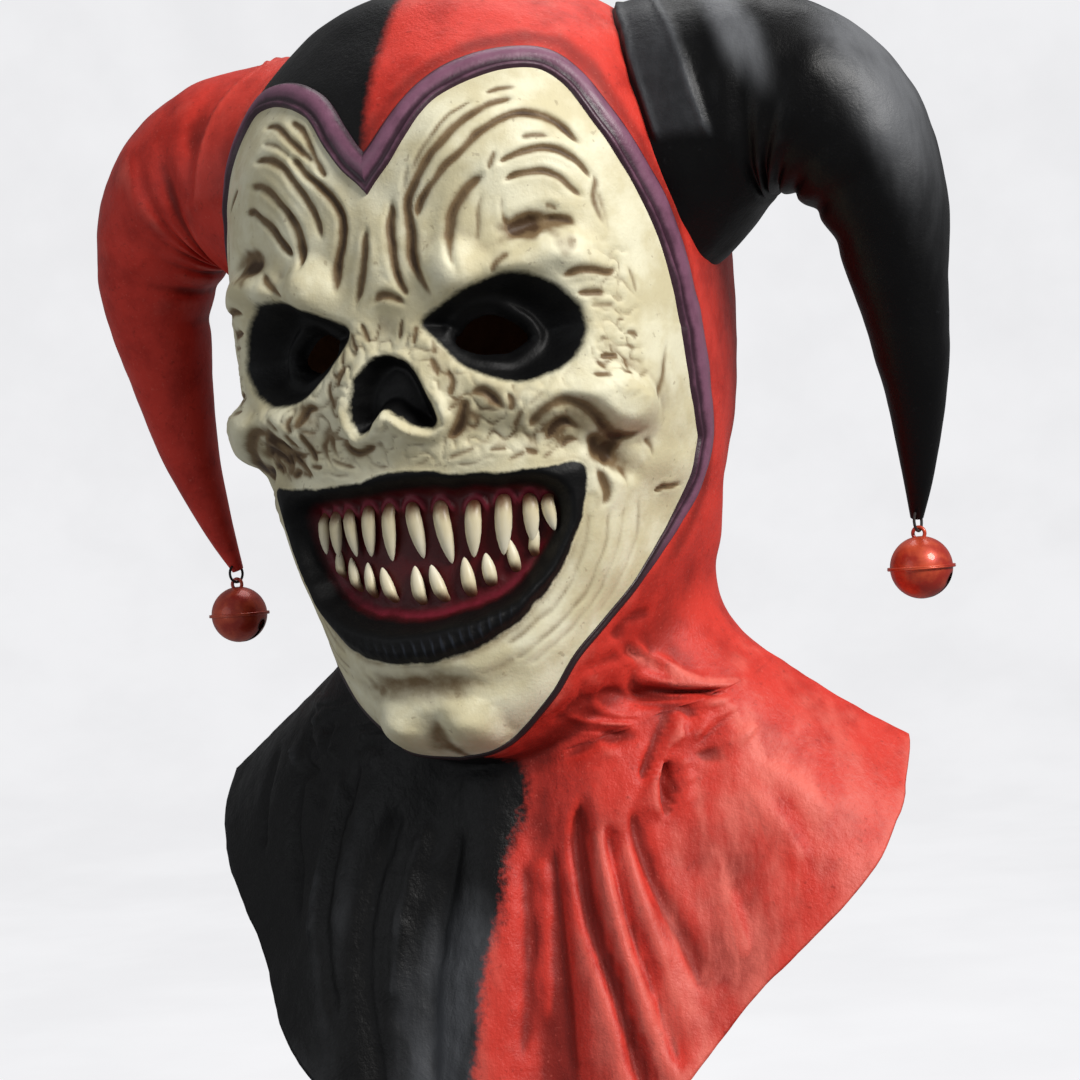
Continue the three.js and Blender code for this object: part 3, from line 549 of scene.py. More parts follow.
def face_relief(grid):
    """Height of the modelled face, distances inside its outlines, stain of the wash with painted shade, and
    gums.
    """
    along = grid["along"] + uneven(grid, UNEVEN["along"])
    z = grid["z"] + uneven(grid, UNEVEN["z"])
    both = np.abs(along)
    inside = {}
    for name, line in OUTLINES.items():
        inside[name] = inside_distance(both if name in TWO_SIDED else along, z, line)
    slope = {name: ramp(inside[outline], *ends) for name, (outline, *ends) in SLOPES.items()}
    rim = {name: bell_curve(inside[outline], *rib) for name, (outline, *rib) in RIMS.items()}
    lower = ramp(-z, *LOWER_LIP_DROP)
    height = skull_forms(both, z)
    height -= DEPTHS["socket"] * slope["socket"]
    height += DEPTHS["lid"] * rim["lid"] * slope["lid"]
    height -= DEPTHS["nose"] * slope["nose"]
    height += DEPTHS["rim"] * rim["nose"] * ramp(-z, *NOSE_RIM_DROP)
    lip = DEPTHS["upper_lip"] + (DEPTHS["lower_lip"] - DEPTHS["upper_lip"]) * lower
    height += lip * slope["lip"] * (1 - slope["lip_inside"])
    height -= DEPTHS["gum"] * slope["gum"]
    sway = LIP_RIBS["sway"] * np.sin(z / LIP_RIBS["sway_size"])
    ribs = np.sin(along * LIP_RIBS["rate"] + sway) * rim["lip"] * lower
    inside["rib"] = ribs * bell_curve(along, LIP_RIBS["half"], LIP_RIBS["middle"])
    height += DEPTHS["lip_rib"] * inside["rib"]
    arches = gum_arches(along, z) * (1 - LOWER_ARCH_LOSS * lower)
    gums = np.maximum(arches, GUM_RIDGE * rim["gum"] * lower) * slope["gum_arch"]
    height += DEPTHS["gum_arch"] * gums
    height += uneven(grid, UNEVEN["height"])
    near_eyes = band(-z, *NEAR_EYES["drop"]) * (1 - ramp(both, *NEAR_EYES["along"]))
    beside_eyes = band(both, *BESIDE_EYES["along"]) * band(-z, *BESIDE_EYES["drop"])
    net = bell_curve(skin_noise(grid, NET["size"]), NET["thin"]) * np.maximum(near_eyes, beside_eyes)
    furrow_relief, stain_and_shade = furrows(grid, along, z, net)
    open_skin = np.clip(1 - sum(ramp(inside[name], *STAIN_AND_SHADE["edge"]) for name in DARK_HOLLOWS), 0, 1)
    height += furrow_relief * open_skin
    # Wash and painted shade: the skin darkens just outside the sockets, nose and mouth.
    grime_and_shade = sum(np.exp(np.minimum(inside[name], 0) / STAIN_AND_SHADE["grime_and_shade_reach"]) for name in DARK_HOLLOWS)
    # Painted shade on the side of the face behind the cheekbone.
    shade_behind_cheek = ramp(both, *SHADE_BEHIND_CHEEK["along"]) * band(-z, *SHADE_BEHIND_CHEEK["drop"])
    stain_and_shade += STAIN_AND_SHADE["grime_and_shade"] * grime_and_shade + STAIN_AND_SHADE["cheek"] * shade_behind_cheek + smudges(grid, along, z)
    return height, inside, stain_and_shade * open_skin, gums


def blurred(field, reach):
    """Field averaged twice over a square of cells."""
    for _ in range(2):
        for axis in (0, 1):
            pad = [(reach + 1, reach) if k == axis else (0, 0) for k in (0, 1)]
            total = np.cumsum(np.pad(field, pad, mode="edge"), axis=axis)
            count = total.shape[axis]
            ahead = np.take(total, range(2 * reach + 1, count), axis=axis)
            field = (ahead - np.take(total, range(count - 2 * reach - 1), axis=axis)) / (2 * reach + 1)
    return field


def mesh_object(name, points, faces, attributes, material):
    """Smooth mesh object from points in millimetres, faces, and float attributes of its points."""
    mesh = bpy.data.meshes.new(name)
    mesh.from_pydata((np.asarray(points) * MM).tolist(), [], np.asarray(faces).tolist())
    for key, values in attributes.items():
        layer = mesh.attributes.new(key, "FLOAT", "POINT")
        layer.data.foreach_set("value", np.ravel(values).astype(np.float32))
    mesh.shade_smooth()
    mesh.materials.append(material)
    piece = bpy.data.objects.new(name, mesh)
    bpy.context.scene.collection.objects.link(piece)
    return piece


def grid_faces(rows, columns, wrap):
    """Quads of a grid whose points are stored row by row."""
    last = columns if wrap else columns - 1
    row, column = np.meshgrid(np.arange(rows - 1), np.arange(last), indexing="ij")
    after = (column + 1) % columns
    here, below = row * columns, (row + 1) * columns
    quads = (here + column, below + column, below + after, here + after)
    return np.stack(quads, -1).reshape(-1, 4)


def used_only(points, faces, attributes):
    """The mesh without the points that no face uses."""
    keep, renumbered = np.unique(faces, return_inverse=True)
    kept = {key: value[keep] for key, value in attributes.items()}
    return points[keep], renumbered.reshape(faces.shape), kept


def two_layers(fields):
    """Point attributes of a grid that is used twice, as an outer and an inner layer."""
    return {name: np.tile(np.ravel(field), 2) for name, field in fields.items()}


class Shade:
    """A socket of a material's nodes, with Python's operators for its maths."""

    def __init__(self, tree, socket):
        self.tree = tree
        self.socket = socket

    def node(self, kind, settings, values, output=0):
        made = self.tree.nodes.new(kind)
        for key, value in settings.items():
            setattr(made, key, value)
        for key, value in values.items():
            if isinstance(value, Shade):
                self.tree.links.new(value.socket, made.inputs[key])
            else:
                made.inputs[key].default_value = value
        return Shade(self.tree, made.outputs[output])

    def math(self, operation, left, right):
        return self.node("ShaderNodeMath", {"operation": operation}, {0: left, 1: right})

    def __add__(self, other):
        return self.math("ADD", self, other)

    def __radd__(self, other):
        return self.math("ADD", other, self)

    def __sub__(self, other):
        return self.math("SUBTRACT", self, other)

    def __rsub__(self, other):
        return self.math("SUBTRACT", other, self)

    def __mul__(self, other):
        return self.math("MULTIPLY", self, other)

    def __rmul__(self, other):
        return self.math("MULTIPLY", other, self)

    def __truediv__(self, other):
        return self.math("DIVIDE", self, other)

    def __pow__(self, other):
        return self.math("POWER", self, other)

    def ramp(self, start, end, low=0.0, high=1.0):
        settings = {"interpolation_type": "SMOOTHSTEP", "clamp": True}
        return self.node("ShaderNodeMapRange", settings, {0: self, 1: start, 2: end, 3: low, 4: high})

    def mix(self, first, second):
        """Colour between two, by this socket's value."""
        return self.node("ShaderNodeMix", {"data_type": "RGBA"}, {0: self, 6: first, 7: second}, 2)

    def noise(self, scale, detail=4.0, stretch=(1, 1, 1), rough=0.6):
        place = self.node("ShaderNodeTexCoord", {}, {}, 3)
        place = self.node("ShaderNodeVectorMath", {"operation": "MULTIPLY"}, {0: place, 1: stretch})
        values = {"Vector": place, "Scale": scale, "Detail": detail, "Roughness": rough}
        return self.node("ShaderNodeTexNoise", {"normalize": True}, values)

    def attribute(self, name):
        return self.node("ShaderNodeAttribute", {"attribute_name": name}, {}, 2)

    def bump(self, strength, distance):
        return self.node("ShaderNodeBump", {}, {"Strength": strength, "Distance": distance, "Height": self})


def colour(red, green, blue):
    """Linear colour from its 8-bit display values."""
    def linear(value):
        share = value / 255
        return share / 12.92 if share < 0.04045 else ((share + 0.055) / 1.055) ** 2.4
    return (linear(red), linear(green), linear(blue), 1.0)


def new_material(name):
    """Material with its surface node, and a handle for making further nodes in it."""
    material = bpy.data.materials.new(name)
    material.use_nodes = True
    surface = material.node_tree.nodes["Principled BSDF"]
    return material, surface, Shade(material.node_tree, None)


def feed(material, surface, **inputs):
    """Sets or links the surface's inputs, named with underscores for spaces."""
    for key, value in inputs.items():
        socket = surface.inputs[key.replace("_", " ")]
        if isinstance(value, Shade):
            material.node_tree.links.new(value.socket, socket)
        else:
            socket.default_value = value


# Face: the bone-coloured front of the casting, with a brown wash wiped into its furrows, painted shade in its
# recesses, round the dark hollows and behind the cheekbone, black sockets, nose and lips with a painted sheen
# on the lower lip, dark red gums, and eye holes cut through. It ends under the raised trim.
FACE_STEP = 0.95
FACE_RADIUS = 100
FACE_SPAN = math.radians(96)
FACE_PLACES = (3.2, 12.85)
LID_EDGE = {"near": -3, "thick": 5}
LEAST_SLOPE = 0.05
CAVITIES = ((3, 1.6, 0.7), (10, 4, 0.6))  # cells averaged over, depth of full wash and painted shade, most of it
CREST = {"cells": 5, "high": 1.5}
WASH_AND_SHADE_SHARE = {"cavity": 0.5, "crest": 0.25, "most": 1.6}
TRIM_COVER = {"z": (-262, -240), "jaw": 0.2, "top": 2.0}
BONE_LIGHT, BONE_MID = colour(243, 238, 208), colour(220, 210, 172)
WASH_AND_SHADE, WASH_DEEP = colour(130, 108, 78), colour(80, 60, 41)
BLACK_PAINT, LIP_SHEEN = colour(4, 4, 5), colour(62, 68, 80)
GUM_RED, GUM_DARK = colour(118, 30, 46), colour(74, 7, 14)


def face_material():
    material, surface, node = new_material("painted_bone_latex")
    blotch = node.noise(38)
    fine = node.noise(420, 6)
    wash = node.attribute("wash")
    bone = blotch.ramp(0.35, 0.65).mix(BONE_LIGHT, BONE_MID)
    patch = node.noise(95, 5)
    # The brown tint paints the wash, and painted shade in recesses, round the dark hollows and behind the
    # cheekbone.
    stain_and_shade = (wash * (0.6 + fine * 0.4 + patch * 0.5) + (patch - 0.5) * 0.25).ramp(0.1, 0.95)
    skin = stain_and_shade.mix(bone, WASH_AND_SHADE)
    skin = (wash + (fine - 0.5) * 0.5).ramp(0.85, 1.6).mix(skin, WASH_DEEP)
    speck = node.noise(240, 2).ramp(0.66, 0.74)
    skin = (speck * 0.35).mix(skin, WASH_AND_SHADE)
    ragged = (fine - 0.5) * 3 + (node.noise(130) - 0.5) * 4
    black = (node.attribute("socket") + ragged * 0.45).ramp(-0.9, 1.6)
    for name in ("nose", "mouth"):
        black = node.math("MAXIMUM", black, (node.attribute(name) + ragged * 0.5).ramp(-0.6, 1.0))
    # Painted sheen: the ribs of the lower lip are painted grey-blue where they catch the light.
    lip = (node.attribute("rib").ramp(0.1, 0.9) * 0.4).mix(BLACK_PAINT, LIP_SHEEN)
    skin = black.mix(skin, lip)
    gum = (node.attribute("gum") + ragged * 0.4).ramp(-1.0, 2.0)
    meat = (node.attribute("gums") + node.noise(150) - 0.5).ramp(0.1, 0.9).mix(GUM_DARK, GUM_RED)
    skin = gum.mix(skin, meat)
    rough = 0.5 + black * 0.04 - gum * 0.12 + (fine - 0.5) * 0.2
    height = fine * 0.5 + node.noise(900, 3) * 0.3
    feed(material, surface, Base_Color=skin, Roughness=rough, Normal=height.bump(0.35, 0.0012),
         Specular_IOR_Level=0.25)
    return material


def keep_width(grid):
    """How far past the trim's middle each skin runs on, under the trim."""
    low, high = TRIM_COVER["z"]
    return TRIM_COVER["jaw"] + (TRIM_COVER["top"] - TRIM_COVER["jaw"]) * ramp(grid["z"], low, high)


def snapped(points, field, step_faces, keep):
    """Points with the edge of the removed cells moved onto the field's zero line."""
    across = np.gradient(points, axis=1)
    down = np.gradient(points, axis=0)
    across_rate, down_rate = np.gradient(field, axis=1), np.gradient(field, axis=0)
    slope = across * (across_rate / (across ** 2).sum(-1))[..., None]
    slope = slope + down * (down_rate / (down ** 2).sum(-1))[..., None]
    move = -slope * (field / np.maximum((slope ** 2).sum(-1), LEAST_SLOPE))[..., None]
    edge = np.zeros(field.size, bool)
    edge[np.intersect1d(step_faces[keep], step_faces[~keep])] = True
    return np.where(edge.reshape(field.shape)[..., None], points + move, points)


def open_edges(faces):
    """Edges that only one face uses, in that face's direction."""
    edges = np.concatenate([faces[:, [k, (k + 1) % 4]] for k in range(4)])
    order = np.sort(edges, axis=1)
    _, first, count = np.unique(order, axis=0, return_index=True, return_counts=True)
    return edges[first[count == 1]]


face_columns = int(2 * FACE_SPAN / (FACE_STEP / FACE_RADIUS)) | 1
face_angles = np.linspace(-FACE_SPAN, FACE_SPAN, face_columns)
face_grid = skin_grid(face_angles, places_by_step(FACE_STEP, *FACE_PLACES))
relief, inside, stain_and_shade, gums = face_relief(face_grid)
face_points = face_grid["point"] + relief[..., None] * face_grid["out"]
# Wash settled in recesses, and painted shade: the skin darkens where it lies below its blurred surroundings,
# at two scales.
cavity = sum(np.clip((blurred(relief, cells) - relief) / deep, 0, most) for cells, deep, most in CAVITIES)
crest = np.clip((relief - blurred(relief, CREST["cells"])) / CREST["high"], 0, 1)
wash = stain_and_shade + cavity * WASH_AND_SHADE_SHARE["cavity"] - crest * WASH_AND_SHADE_SHARE["crest"]
cells = grid_faces(*face_grid["z"].shape, False)
middles = {name: np.ravel(inside[name])[cells].mean(axis=1) for name in ("trim", "eye")}
covered = middles["trim"] > -np.ravel(keep_width(face_grid))[cells].mean(axis=1)
face_points = snapped(face_points, inside["eye"], cells[covered], (middles["eye"] < 0)[covered])
face_cells = cells[covered & (middles["eye"] < 0)]
flat_points = face_points.reshape(-1, 3)
eye_edges = open_edges(face_cells)
eye_edges = eye_edges[np.ravel(inside["eye"])[eye_edges].mean(axis=1) > LID_EDGE["near"]]
lid_points = flat_points - LID_EDGE["thick"] * face_grid["out"].reshape(-1, 3)
first, second = eye_edges.T
below = len(flat_points)
face_faces = np.concatenate((face_cells, np.stack((second, first, first + below, second + below), -1)))
face_fields = {name: inside[name] for name in ("socket", "nose", "mouth", "gum", "rib")}
face_fields["wash"] = np.clip(wash, 0, WASH_AND_SHADE_SHARE["most"])
face_fields["gums"] = gums
both_layers = np.concatenate((flat_points, lid_points))
face = mesh_object("face", *used_only(both_layers, face_faces, two_layers(face_fields)), face_material())
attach(face, "mask")
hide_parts("mask_shell")

# Hood, neck and collar: the rest of the casting, brushed red on the mask's left and black on the right,
# with the bare latex of the inside. The collar is folded, dimpled and creased as the thin skin slumps.
HOOD_STEP = 2.4
HOOD_COLUMNS = 310
SPLIT = ((-600, 0), (-466, 0), (-427, 4), (-404, 9), (-377, 12), (-362, 18), (-346, 20), (-328, 5),
         (-110, 0), (50, 0))
COLLAR_MARKS = (  # width, depth, then points along the skin and in height
    (5.5, 8.5, (47, -354), (49, -380), (58, -409), (73, -438), (86, -468), (97, -492)),
    (3.4, 7.0, (92, -318), (101, -313.5), (111, -317)),
    (4.4, 8.0, (86, -341), (90, -353), (92, -366)),
    (4.0, 4.2, (60, -366), (68, -389), (80, -416), (97, -445), (108, -466)),
    (4.0, 4.0, (71, -359), (85, -388), (109, -417), (124, -435)),
    (3.6, 2.0, (19, -381), (23, -422), (20, -462)),
    (3.6, 2.4, (33, -375), (38, -411), (42, -445), (46, -470)),
    (4.5, -3.2, (128, -353), (153, -372), (176, -389)),
    (4.5, -3.0, (127, -392), (138, -411), (150, -426)),
    (4.0, -2.6, (138, -346), (164, -359), (190, -372)),
    (3.2, 2.4, (71, -302), (90, -297), (112, -296)),
    (3.2, 3.0, (51, -322), (66, -315), (78, -312), (94, -311)),
    (3.2, 3.0, (105, -302), (89, -320), (80, -337), (74, -351)),
    (3.0, -2.8, (104, -290), (117, -303), (110, -316)),
    (3.0, 2.4, (36, -339), (54, -332), (68, -331)),
    (3.0, 1.8, (83, -288), (102, -281), (120, -279)),
    (3.0, -2.6, (79, -354), (83, -341), (88, -326), (91, -320)),
    (4.5, -3.0, (54, -366), (62, -392), (74, -424), (88, -456)),
    (4.0, -2.8, (68, -372), (80, -400), (98, -428)),
    (4.0, -2.4, (26, -378), (30, -410), (32, -450)),
    (4.5, 3.2, (-112, -312), (-117, -337), (-126, -371), (-112, -404)),
    (4.5, 3.4, (-42, -354), (-56, -387), (-61, -420), (-57, -453), (-50, -485)),
    (4.5, 3.0, (-11, -367), (-22, -405), (-27, -438), (-24, -475)),
    (4.0, 2.6, (-148, -329), (-159, -354), (-164, -380)),
    (4.0, -2.6, (-28, -362), (-40, -400), (-44, -440)),
    (4.0, -2.4, (-78, -340), (-92, -375), (-96, -415)),
    (4.0, 2.6, (-66, -335), (-80, -365), (-84, -405), (-78, -445)),
)
RIM_MARKS = {"numbers": (1, 2), "wide": 2.2, "inner": 1.3, "high": 0.9}
NECK = {"along": (45, 125), "z": (-352, -284), "length": (12, 26), "width": 2.6, "lean": 0.5, "spread": 0.7}
CRINKLES = (  # small grooves and ridges strewn over the neck
    {**NECK, "seed": 5, "count": 18, "depth": 1.9},
    {**NECK, "seed": 6, "count": 16, "depth": -1.7},
)
COLLAR_PLACES = (10.8, 12.4)  # numbers of the sections between which the collar begins
CRUMPLE = {"per_mm": 0.02, "falloff": 0.7, "step": 2.1, "layers": 4, "high": 1.6}
OFF_TRIM = {"relief": (-16, -4), "marks": (-10, -2), "sunk": (-1, 1)}  # millimetres inside the trim's line
SWELL = {"cells": 5, "full": 2.5}
LINING = {"spread": 3, "row_step": 3, "crown_rows": 2, "off_eye": -2.5}
RUB = {"wide": 26, "middle": -16, "drop": (370, 420), "front": 1.5}
SHINE = {"along": ((60, 110), (170, 215)), "drop": (318, 350)}
BESIDE_TRIM = {"strength": 0.75, "wide": 5, "middle": -9, "drop": (240, 300)}
SHINE_STREAKS = (  # width, strength, then points: streaks of painted sheen on the red
    (7, 1.7, (112, -314), (130, -338), (150, -362)),
    (6, 1.7, (118, -368), (132, -402), (152, -438)),
    (5, 1.2, (100, -290), (114, -304), (126, -322)),
    (5, 1.2, (146, -342), (170, -358), (192, -374)),
    (5, 1.0, (94, -368), (108, -398), (126, -428)),
    (4, 1.0, (78, -318), (84, -330), (82, -344)),
)
UNDERLAP = {"wide": 6.0, "sunk": 0.9}
CHIN_TUCK = {"z": -340, "tall": 16, "wide": 55, "deep": 5}
RED, RED_LIGHT = colour(218, 62, 50), colour(240, 118, 104)
RED_DEEP, RED_DARK = colour(186, 46, 36), colour(100, 22, 16)
BLACK, BLACK_SHEEN = colour(5, 5, 6), colour(82, 84, 88)
LATEX, LATEX_DARK = colour(150, 104, 70), colour(122, 82, 54)


def latex_paint(node, ridge, hollow):
    """Mottled red and brushed black paint of the latex skin with grain, streaks, painted sheen and painted
    shade.
    """
    mottle = node.noise(55, 5)
    grain = node.noise(330, 6)
    streak = node.noise(90, 4, (1, 1, 0.18))
    pores = node.noise(620, 3)
    red = mottle.ramp(0.4, 0.72).mix(RED, RED_DEEP)
    # Painted sheen: the ridges of the folds are painted paler red.
    red = ((ridge + (streak - 0.5) * 1.6).ramp(0.15, 1.1) * 0.6).mix(red, RED_LIGHT)
    # Painted shade: the hollows of the folds are painted dark red.
    red = ((hollow * 1.3 + (streak - 0.5) * 0.7).ramp(0.2, 1.2) * 0.7).mix(red, RED_DARK)
    red = (grain.ramp(0.58, 0.76) * 0.4).mix(red, RED_DARK)
    red = (pores.ramp(0.6, 0.75) * 0.3).mix(red, RED_LIGHT)
    # Painted sheen: the ridges of the black are painted grey.
    black = ((ridge * 0.7 + (streak - 0.5) * 0.7).ramp(0.25, 1.2) * 0.5).mix(BLACK, BLACK_SHEEN)
    black = (grain.ramp(0.62, 0.8) * 0.15).mix(black, BLACK_SHEEN)
    return red, black, grain, streak


def hood_material():
    material, surface, node = new_material("painted_hood_latex")
    ridge, hollow = node.attribute("ridge"), node.attribute("hollow")
    red, black, grain, streak = latex_paint(node, ridge, hollow)
    collar = node.attribute("collar")
    ragged = (streak - 0.5) * 9 * collar + (grain - 0.5) * (5 + collar * 6)
    black = (node.attribute("rub") * (0.2 + streak * 1.3)).ramp(0.2, 1.0).mix(black, BLACK_SHEEN)
    # Painted sheen: pale pink streaks on the red collar's right.
    red = (node.attribute("shine") * (streak - 0.25) * 1.7).ramp(0.1, 1.0).mix(red, RED_LIGHT)
    side = (node.attribute("split") + ragged).ramp(-3.5, 3.5)
    paint = side.mix(black, red)
    bare = node.noise(45).ramp(0.3, 0.7).mix(LATEX, LATEX_DARK)
    paint = node.attribute("lining").mix(paint, bare)
    rough = 0.46 + (grain - 0.5) * 0.25 + hollow * 0.1
    crinkle = node.noise(75, 6, (1, 1, 0.6)) * collar
    height = grain * 0.6 + node.noise(900, 3) * 0.4 + crinkle * 2.5
    feed(material, surface, Base_Color=paint, Roughness=rough, Normal=height.bump(0.4, 0.0014),
         Specular_IOR_Level=0.28)
    return material


def crumpled(points, plan):
    """Height of the crumpling of the thin skin at points, from fractal noise."""
    layers = (plan["falloff"], plan["step"], plan["layers"])
    values = [noise.fractal(Vector(point) * plan["per_mm"], *layers) for point in points.reshape(-1, 3)]
    return plan["high"] * np.array(values).reshape(points.shape[:-1])


hood_angles = np.linspace(-math.pi, math.pi, HOOD_COLUMNS, endpoint=False)
hood_grid = skin_grid(hood_angles, places_by_step(HOOD_STEP, 0, LAST_ROW))
relief, inside, _, _ = face_relief(hood_grid)
collar = ramp(hood_grid["place"], *COLLAR_PLACES)
hood_along, hood_z, hood_drop = hood_grid["along"], hood_grid["z"], -hood_grid["z"]
marks = crumpled(hood_grid["point"], CRUMPLE) * collar
for number, (width, depth, *points) in enumerate(COLLAR_MARKS):
    marks -= depth * stroke(hood_along, hood_z, width, points)
    if number in RIM_MARKS["numbers"]:
        wide = stroke(hood_along, hood_z, RIM_MARKS["wide"] * width, points)
        inner = stroke(hood_along, hood_z, RIM_MARKS["inner"] * width, points)
        marks += RIM_MARKS["high"] * depth * (wide - inner)
for plan in CRINKLES:
    for width, depth, points in scattered_strokes(plan):
        marks -= depth * stroke(np.abs(hood_along), hood_z, width, points)
off_trim = {name: ramp(inside["trim"], *ends) for name, ends in OFF_TRIM.items()}
relief = relief * (1 - (1 - off_trim["relief"]) * collar) + marks * (1 - off_trim["marks"])
relief -= UNDERLAP["sunk"] * off_trim["sunk"]
hood_points = hood_grid["point"] + relief[..., None] * hood_grid["out"]
radius = np.linalg.norm(hood_points[..., :2], axis=-1)
swell = (radius - blurred(radius, SWELL["cells"])) / SWELL["full"]
deepest = relief.copy()
rows, columns = deepest.shape
for _ in range(LINING["spread"]):
    padded = np.pad(deepest, 1, mode="edge")
    deepest = np.minimum.reduce([padded[i:i + rows, j:j + columns] for i in range(3) for j in range(3)])
tuck = CHIN_TUCK["deep"] * bell_curve(hood_z, CHIN_TUCK["tall"], CHIN_TUCK["z"])
tuck *= bell_curve(hood_along, CHIN_TUCK["wide"])
lining_points = hood_grid["point"] + (deepest - WALL - tuck)[..., None] * hood_grid["out"]
crown_wall = WALL * (hood_grid["place"] < LINING["crown_rows"])
lining_points[..., 2] = np.minimum(lining_points[..., 2], hood_points[..., 2] - crown_wall)
hood_cells = grid_faces(rows, columns, True)
shown = hood_cells[np.ravel(inside["trim"])[hood_cells].mean(axis=1) < UNDERLAP["wide"]]
count = rows * columns
lining_rows = np.unique(np.append(np.arange(0, rows, LINING["row_step"]), rows - 1))
lining_ids = (lining_rows[:, None] * columns + np.arange(columns)[None, :]).ravel()
lining_cells = lining_ids[grid_faces(len(lining_rows), columns, True)]
off_eye = np.ravel(inside["eye"])[lining_cells].max(axis=1) <= LINING["off_eye"]
lining_cells = lining_cells[off_eye][:, ::-1] + count
hem = np.arange(count - columns, count)
hem_cells = np.stack((hem, hem + count, np.roll(hem, -1) + count, np.roll(hem, -1)), -1)
past_split = hood_grid["point"][..., 0] - np.interp(hood_z, *np.array(SPLIT, float).T)
rub = bell_curve(past_split, RUB["wide"], RUB["middle"]) * ramp(hood_drop, *RUB["drop"])
# Painted sheen on the red collar's right, where it slopes up towards the light.
shine = band(hood_along, *SHINE["along"]) * ramp(hood_drop, *SHINE["drop"])
for width, strength, *points in SHINE_STREAKS:
    shine = np.maximum(shine, strength * stroke(hood_along, hood_z, width, points))
beside_trim = BESIDE_TRIM["strength"] * bell_curve(inside["trim"], BESIDE_TRIM["wide"], BESIDE_TRIM["middle"])
hood_attributes = two_layers({
    "split": past_split,
    "rub": rub * (np.abs(hood_angles) < RUB["front"]),
    "shine": shine,
    # Ridges of the folds carry painted sheen and their hollows painted shade; the band beside the trim is
    # darker too.
    "ridge": np.clip(swell, 0, 1),
    "hollow": np.clip(-swell, 0, 1) + beside_trim * (1 - ramp(hood_drop, *BESIDE_TRIM["drop"])),
    "collar": collar,
})
hood_attributes["lining"] = np.repeat((0.0, 1.0), count)
all_points = np.concatenate((hood_points.reshape(-1, 3), lining_points.reshape(-1, 3)))
hood_faces = np.concatenate((shown, lining_cells, hem_cells))
hood = mesh_object("hood_and_collar", *used_only(all_points, hood_faces, hood_attributes), hood_material())
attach(hood, "mask")
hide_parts("mask_shell")

# Raised trim round the face: a rib of the casting with a groove along it, painted purple, with painted
# highlight on its crown and painted shade in its groove and at its foot, and drawn out to a thin dark line
# along the jaw.
TRIM_SECTION = ((-0.5, -0.7), (-0.44, 0.35), (-0.3, 0.85), (-0.1, 1.0), (0.1, 0.85), (0.2, 0.42),
                (0.28, 0.5), (0.36, 0.72), (0.43, 0.5), (0.5, -0.7))
TRIM_HIGH = {"top": 2.8, "jaw": 1.1}
TRIM_THIN = (5, 12)
TRIM_STEP = 0.05
TRIM_LEAD = ((-13, -106, 13), (-6.5, -98.5, 13))
TRIM_DARK, TRIM_LIGHT, JAW_LINE = colour(58, 32, 46), colour(132, 86, 110), colour(44, 26, 30)
SEARCH = {"rounds": 12, "along": 0.8, "down": 0.7, "margin": 1.001}


def on_skin(grid, points, along, z):
    """Points of a skin grid at distances along the skin and heights, by repeated linear search."""
    rows, columns = grid["z"].shape
    row = np.interp(-z, -grid["z"][:, columns // 2], np.arange(rows))
    column = np.full(len(z), columns / 2)

    def read(field):
        r0 = np.clip(row.astype(int), 0, rows - 2)
        c0 = np.clip(column.astype(int), 0, columns - 2)
        u, v = row - r0, column - c0
        if field.ndim == 3:
            u, v = u[:, None], v[:, None]
        upper = field[r0, c0] * (1 - v) + field[r0, c0 + 1] * v
        return upper * (1 - u) + (field[r0 + 1, c0] * (1 - v) + field[r0 + 1, c0 + 1] * v) * u

    for _ in range(SEARCH["rounds"]):
        beside = (along - read(grid["along"])) / FACE_STEP * SEARCH["along"]
        column = np.clip(column + beside, 0, columns - SEARCH["margin"])
        above = (z - read(grid["z"])) / FACE_STEP * SEARCH["down"]
        row = np.clip(row - above, 0, rows - SEARCH["margin"])
    across, down = read(np.gradient(points, axis=1)), read(np.gradient(points, axis=0))
    normal = np.cross(down, across)
    return read(points), normal / np.linalg.norm(normal, axis=1)[:, None]


def trim_material():
    material, surface, node = new_material("painted_trim")
    crown = node.attribute("crown")
    mottle = node.noise(120, 5)
    # Painted highlight and shade: the rib is lighter the higher it stands, and darkest in its groove and at
    # its foot.
    tone = (crown + (mottle - 0.5) * 0.7).ramp(0.45, 1.05).mix(TRIM_DARK, TRIM_LIGHT)
    tone = node.attribute("thin").mix(tone, JAW_LINE)
    rough = 0.42 + (mottle - 0.5) * 0.25
    feed(material, surface, Base_Color=tone, Roughness=rough, Normal=node.noise(500, 4).bump(0.25, 0.001))
    return material


